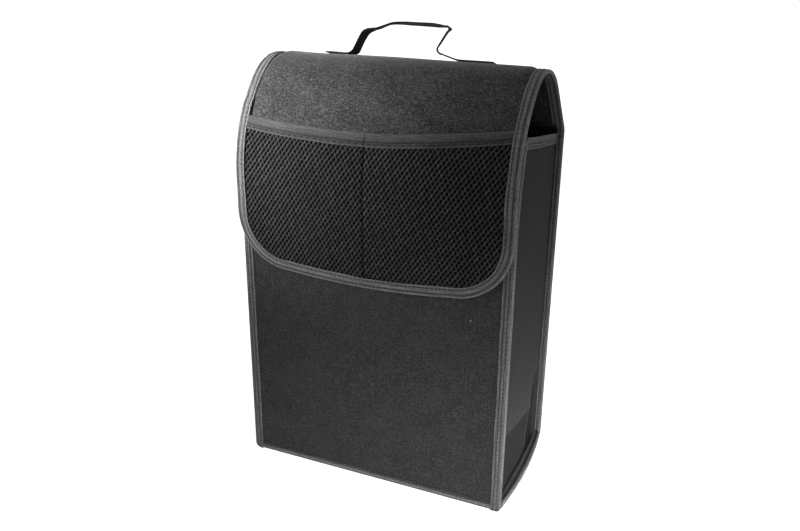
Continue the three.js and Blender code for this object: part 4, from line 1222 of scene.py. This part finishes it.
def hem_relief(across, along):
    """Height and shade of the hem: fine ribs on its upper part, their crests painted pale, and the upper
    part gets darker downwards. A groove and the stitches' dimples in the darker lower band are painted
    dark as shade, the fold and the lower edge get painted highlights, and the seam's pinch painted
    shade. Both are sums of waves and bells across the hem."""
    upper = 1 - ease(across, 7.0, 7.8)
    ribs = np.cos(2 * np.pi * across / 1.9) * upper
    groove = hump(across, HEM_GROOVE, 0.5)
    dimple = hump(across, HEM_STITCH, 0.7) * (0.5 + 0.5 * np.cos(2 * np.pi * along / HEM_STITCH_PITCH))
    shade = 0.62 + 0.35 * upper - 0.035 * across * upper + 0.3 * hump(across, 0.7, 0.6) + 0.16 * ribs
    shade = shade - 0.45 * groove - 0.45 * dimple + 0.3 * hump(across, 12.4, 0.4)
    pinch = 0.5 * hump(hem_x, seam_x(hem_s(0.0)), 1.3)
    return 0.14 * ribs - 0.3 * groove - 0.4 * dimple - pinch, shade * (1 - pinch)


def hem_face(offset):
    """One face of the hem, offset from its middle line."""
    return hem_point(hem_across + out_across * offset, hem_through + out_through * offset, hem_x)


hem_rise, hem_shade = hem_relief(hem_across, hem_x)
pocket_hem = layer("pocket_hem_tape", hem_face(TAPE / 2 + hem_rise), hem_face(0 * hem_x - TAPE / 2),
                   together(hem_gone, hem_x), HEM_TONE * hem_shade)
dress(pocket_hem, binding_tape, "flap", "pocket_hem")
line, normals = row_on(hem_point, HEM_STITCH, fold_radius(MESH) + TAPE - 0.3, hem_x[:, 0])
stitch_row("pocket_hem_stitches", line, normals, "flap", HEM_STITCH_PITCH)

# %% Seam between the pockets
seam_s = steps(float(hem_s(0)) + 1, FLAP_LENGTH - TAPE_WIDTH, 2)
seam_line = flap_point(seam_x(seam_s), seam_s, MESH_DEPTH + 1.0)
seam_up = flap_point(seam_x(seam_s), seam_s, MESH_DEPTH) - seam_line
stitch_row("pocket_seam_stitches", seam_line, seam_up, "flap")

# %% [markdown]
# ## Handle
#
# The handle is one length of webbing, sewn down flat behind the crown and bent by hand into a loop
# with a twisted left leg and a kinked right one. A smooth curve runs through a dozen points, and the
# webbing's flat section turns about it by the twist given at each.

# %% Line of the handle
WEBBING = 1.4
WEBBING_WIDTH = 16.0
HANDLE_BEHIND_CROWN = 14.0
HANDLE_TAB_START = 66.0
HANDLE_TAB_END = 92.0
handle_stops = np.array([
    [-92, 0, 0], [-79, 0, 0], [-66, 0, 0], [-60.5, 2.7, -2], [-57, 8.2, 0], [-52.5, 16.2, 0],
    [-47.6, 22.8, -1], [-42, 25.6, 2], [-33, 27.6, 10], [-23, 31.2, 13], [-14, 33, 4], [0, 33.3, -1],
    [12, 33.2, -1], [30, 32.9, -3], [40.5, 32.2, 5], [44.2, 31.2, -4], [44.4, 29.4, -13], [41.6, 26.3, -18],
    [38.4, 21.6, -18], [34.5, 15.5, -19], [31.6, 10.6, -22], [32.3, 7.2, -9], [35.5, 5.8, 1],
    [42.5, 3.7, 2], [49.5, 1.6, 2], [56, 0.3, 1], [66, 0, 0], [79, 0, 0], [92, 0, 0]])
crown_s = rise_length + CROWN_RADIUS * rise
handle_s = crown_s - HANDLE_BEHIND_CROWN


def seat_point(x, up=0.0):
    """A point of the line that the handle is sewn on, up above the felt, at the place x."""
    return flap_point(x, handle_s, FLAP_FELT_DEPTH - crown_swell(x, handle_s) - PLY_GAP - up)


stops = seat_point(handle_stops[:, 0], WEBBING / 2)
stops[:, 2] += handle_stops[:, 1]
stops_twist = np.radians(handle_stops[:, 2])


def smooth_curve(stops, count):
    """A curve through the stops: between two of them, the cubic whose end slopes come from the three
    nearest stops, each stretch weighted by the square root of its length."""
    padded = np.concatenate([[2 * stops[0] - stops[1]], stops, [2 * stops[-1] - stops[-2]]])
    gap = np.sqrt(np.linalg.norm(np.diff(padded, axis=0), axis=1))[:, None]
    chord = np.diff(padded, axis=0) / gap
    slope = chord[:-1] - (padded[2:] - padded[:-2]) / (gap[:-1] + gap[1:]) + chord[1:]
    start, end = slope[:-1] * gap[1:-1], slope[1:] * gap[1:-1]
    a, b = stops[:-1], stops[1:]
    u = np.linspace(0, 1, count, endpoint=False)[None, :, None]
    a, b, start, end = (v[:, None] for v in (a, b, start, end))
    inside = a + start * u + (3 * (b - a) - 2 * start - end) * u**2 + (2 * (a - b) + start + end) * u**3
    return np.concatenate([inside.reshape(-1, 3), stops[-1:]])


# %% Webbing of the handle
centre_line = smooth_curve(stops, 26)
twist = np.interp(np.linspace(0, len(stops) - 1, len(centre_line)), np.arange(len(stops)), stops_twist)
tangent = unit(np.gradient(centre_line, axis=0))
slope = HANDLE_BEHIND_CROWN / CROWN_RADIUS
flatwise = np.array([0, np.cos(slope), -np.sin(slope)]) + 0 * tangent
flatwise = unit(flatwise - tangent * (flatwise * tangent).sum(1, keepdims=True))
upright = np.cross(tangent, flatwise)
turned = flatwise * np.cos(twist)[:, None] + upright * np.sin(twist)[:, None]
over = np.cross(tangent, turned)
web_gone = walked(centre_line)
web_across = np.linspace(-1, 1, 21)
thread_bumps = 0.3 * np.sin(2 * np.pi * web_gone / 2)[:, None] * (np.abs(web_across) > 0.93)
half_width = WEBBING_WIDTH / 2 * web_across + thread_bumps * np.sign(web_across)
cords = 0.1 * np.cos(2 * np.pi * web_across * 4) * np.sqrt(np.maximum(0, 1 - web_across**2))
half_thick = WEBBING / 2 * (1 - 0.45 * np.abs(web_across) ** 12) + cords
middle_web = centre_line[:, None] + turned[:, None] * half_width[..., None]
lift = over[:, None] * half_thick[..., None]
flat_web = together(web_across * WEBBING_WIDTH / 2, web_gone[:, None])
handle_web = layer("handle_webbing", middle_web + lift, middle_web - lift, flat_web)
dress(handle_web, webbing_yarn, "flap", "handle")
print("The handle's webbing is", round(web_gone[-1]), "mm long")

# %% Stitches of the handle's ends: a box with one diagonal
STITCH_BOX_HALF = 5.5
for word, side in (("left", -1), ("right", 1)):
    low_x, high_x = side * (HANDLE_TAB_START + 1), side * (HANDLE_TAB_END - 3)
    wide = STITCH_BOX_HALF
    corners = [(low_x, -wide), (high_x, -wide), (high_x, wide), (low_x, wide), (low_x, -wide), (high_x, wide)]
    share = np.linspace(0, 1, 20)
    for number, (a, b) in enumerate(zip(corners[:-1], corners[1:])):
        line = seat_point(a[0] + (b[0] - a[0]) * share, WEBBING - 0.2)
        aside = a[1] + (b[1] - a[1]) * share
        line = line + aside[:, None] * [0, np.cos(slope), -np.sin(slope)]
        up = np.tile([0, np.sin(slope), np.cos(slope)], (len(line), 1))
        stitch_row(f"{word}_handle_stitches_{number}", line, up, "flap")

# %% [markdown]
# ## Hook and loop
#
# Two pairs of patches close the flap, and two strips on the back grip the boot's carpet. Each is a
# flat tape with a pile of tiny hooks, sewn round its border, so a rounded slab with a fine bumpy
# face is enough.

# %% Patches and strips
PATCHES = {
    "bag": ("left_loop_patch", "right_loop_patch", "left_back_hook_strip", "right_back_hook_strip"),
    "flap": ("left_hook_patch", "right_hook_patch"),
}
for body, names in PATCHES.items():
    for name in names:
        low, high = (np.array(corner) * 1000 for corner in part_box(name))
        middle_y, half_y = (low[1] + high[1]) / 2 - shift_y, (high[1] - low[1]) / 2
        u, v = np.meshgrid(np.linspace(-1, 1, 41), np.linspace(-1, 1, 61))
        x = (low[0] + high[0]) / 2 + u * (high[0] - low[0]) / 2
        z = (low[2] + high[2]) / 2 + v * (high[2] - low[2]) / 2
        edge = np.minimum((high[0] - low[0]) / 2 * (1 - np.abs(u)), (high[2] - low[2]) / 2 * (1 - np.abs(v)))
        thick = half_y * (0.55 + 0.45 * ease(edge, 0, 0.8)) * (1 - 0.25 * hump(edge, 2.2, 0.5))
        faces = [np.stack([x, middle_y + way * thick, z], -1) for way in (1, -1)]
        patch = dress(layer(name + "_pile", *faces, np.stack([x, z], -1)), grip_pile, body, name)

# %% [markdown]
# ## Floor, light and camera
#
# The bag stands on a white floor in soft studio light. A big lamp in front gives the main light, a
# weaker one fills the right side, and the white world does the rest. Two small ones with a narrow
# spread add what the real studio's strips gave: one low on the right, for the foot, and one on the
# left, which grazes the flap's edge. The floor looks white to the camera by its own glow, and still
# takes the bag's shadow.

# %% Floor
floor_mesh = bpy.data.meshes.new("studio_floor")
floor_mesh.from_pydata([(-30, -30, 0), (30, -30, 0), (30, 60, 0), (-30, 60, 0)], [], [(0, 1, 2, 3)])
linked("studio_floor", floor_mesh)
floor_white, tree, floor_shader = fresh_material("floor_white")
set_values(floor_shader, Base_Color=(0.82, 0.82, 0.82, 1), Roughness=0.9, Emission_Color=(1, 1, 1, 1))


def direct_rays(tree):
    """1 for the rays that see a surface from the camera or in a gloss, and 0 for the light's own."""
    seen = node(tree, "LightPath")
    return maths(tree, "MAXIMUM", seen.outputs["Is Camera Ray"], seen.outputs["Is Glossy Ray"])


tree.links.new(maths(tree, "MULTIPLY", direct_rays(tree), 0.85), floor_shader.inputs["Emission Strength"])
floor_mesh.materials.append(floor_white)

# %% World and lamps
world = bpy.data.worlds.new("studio")
bpy.context.scene.world = world
world.use_nodes = True
tree = world.node_tree
sky = tree.nodes["Background"]
set_values(sky, Color=(1, 1, 1, 1))
tree.links.new(maths(tree, "MULTIPLY_ADD", direct_rays(tree), 0.6, 0.4), sky.inputs["Strength"])


def lamp(name, place, aim, size, power, spread=180):
    """A square area lamp at place, turned to aim, that shines into a cone of spread degrees."""
    light = bpy.data.lights.new(name, "AREA")
    light.shape = "SQUARE"
    light.size = size
    light.energy = power
    light.spread = np.radians(spread)
    made = linked(name, light)
    away = Vector(place) - Vector(aim)
    made.location = place
    made.rotation_euler = away.to_track_quat("Z", "Y").to_euler()
    made.visible_camera = False


lamp("key", (-0.5, -2.2, 1.6), (0, 0, 0.15), 1.6, 11.0)
lamp("fill", (2.2, -0.8, 0.8), (0, 0, 0.15), 1.4, 5.5)
lamp("low_front", (1.0, -1.0, 0.08), (0.1, -0.04, -0.05), 0.4, 1.15, 22)
lamp("left_strip", (-0.5, -0.5, 0.5), (-0.17, -0.075, 0.395), 0.2, 0.95, 28)

# %% Camera
CAMERA_PLACE = (0.32643, -0.74874, 0.51107)
CAMERA_RIGHT = (0.914259, 0.404992, 0.010552)
CAMERA_UP = (-0.143845, 0.300157, 0.942981)
CAMERA_FORWARD = (-0.378733, 0.863647, -0.332678)
FOCAL_PIXELS = 784.41
IMAGE_WIDTH = 800
SENSOR_WIDTH = 36
camera_data = bpy.data.cameras.new("camera")
camera_data.sensor_width = SENSOR_WIDTH
camera_data.lens = FOCAL_PIXELS * SENSOR_WIDTH / IMAGE_WIDTH
camera_data.clip_end = 200
camera = linked("camera", camera_data)
matrix = np.eye(4)
matrix[:3, :3] = np.stack([CAMERA_RIGHT, CAMERA_UP, -np.array(CAMERA_FORWARD)], axis=1)
matrix[:3, 3] = CAMERA_PLACE
camera.matrix_world = Matrix(matrix.tolist())
bpy.context.scene.camera = camera
bpy.context.scene.view_settings.view_transform = "Standard"
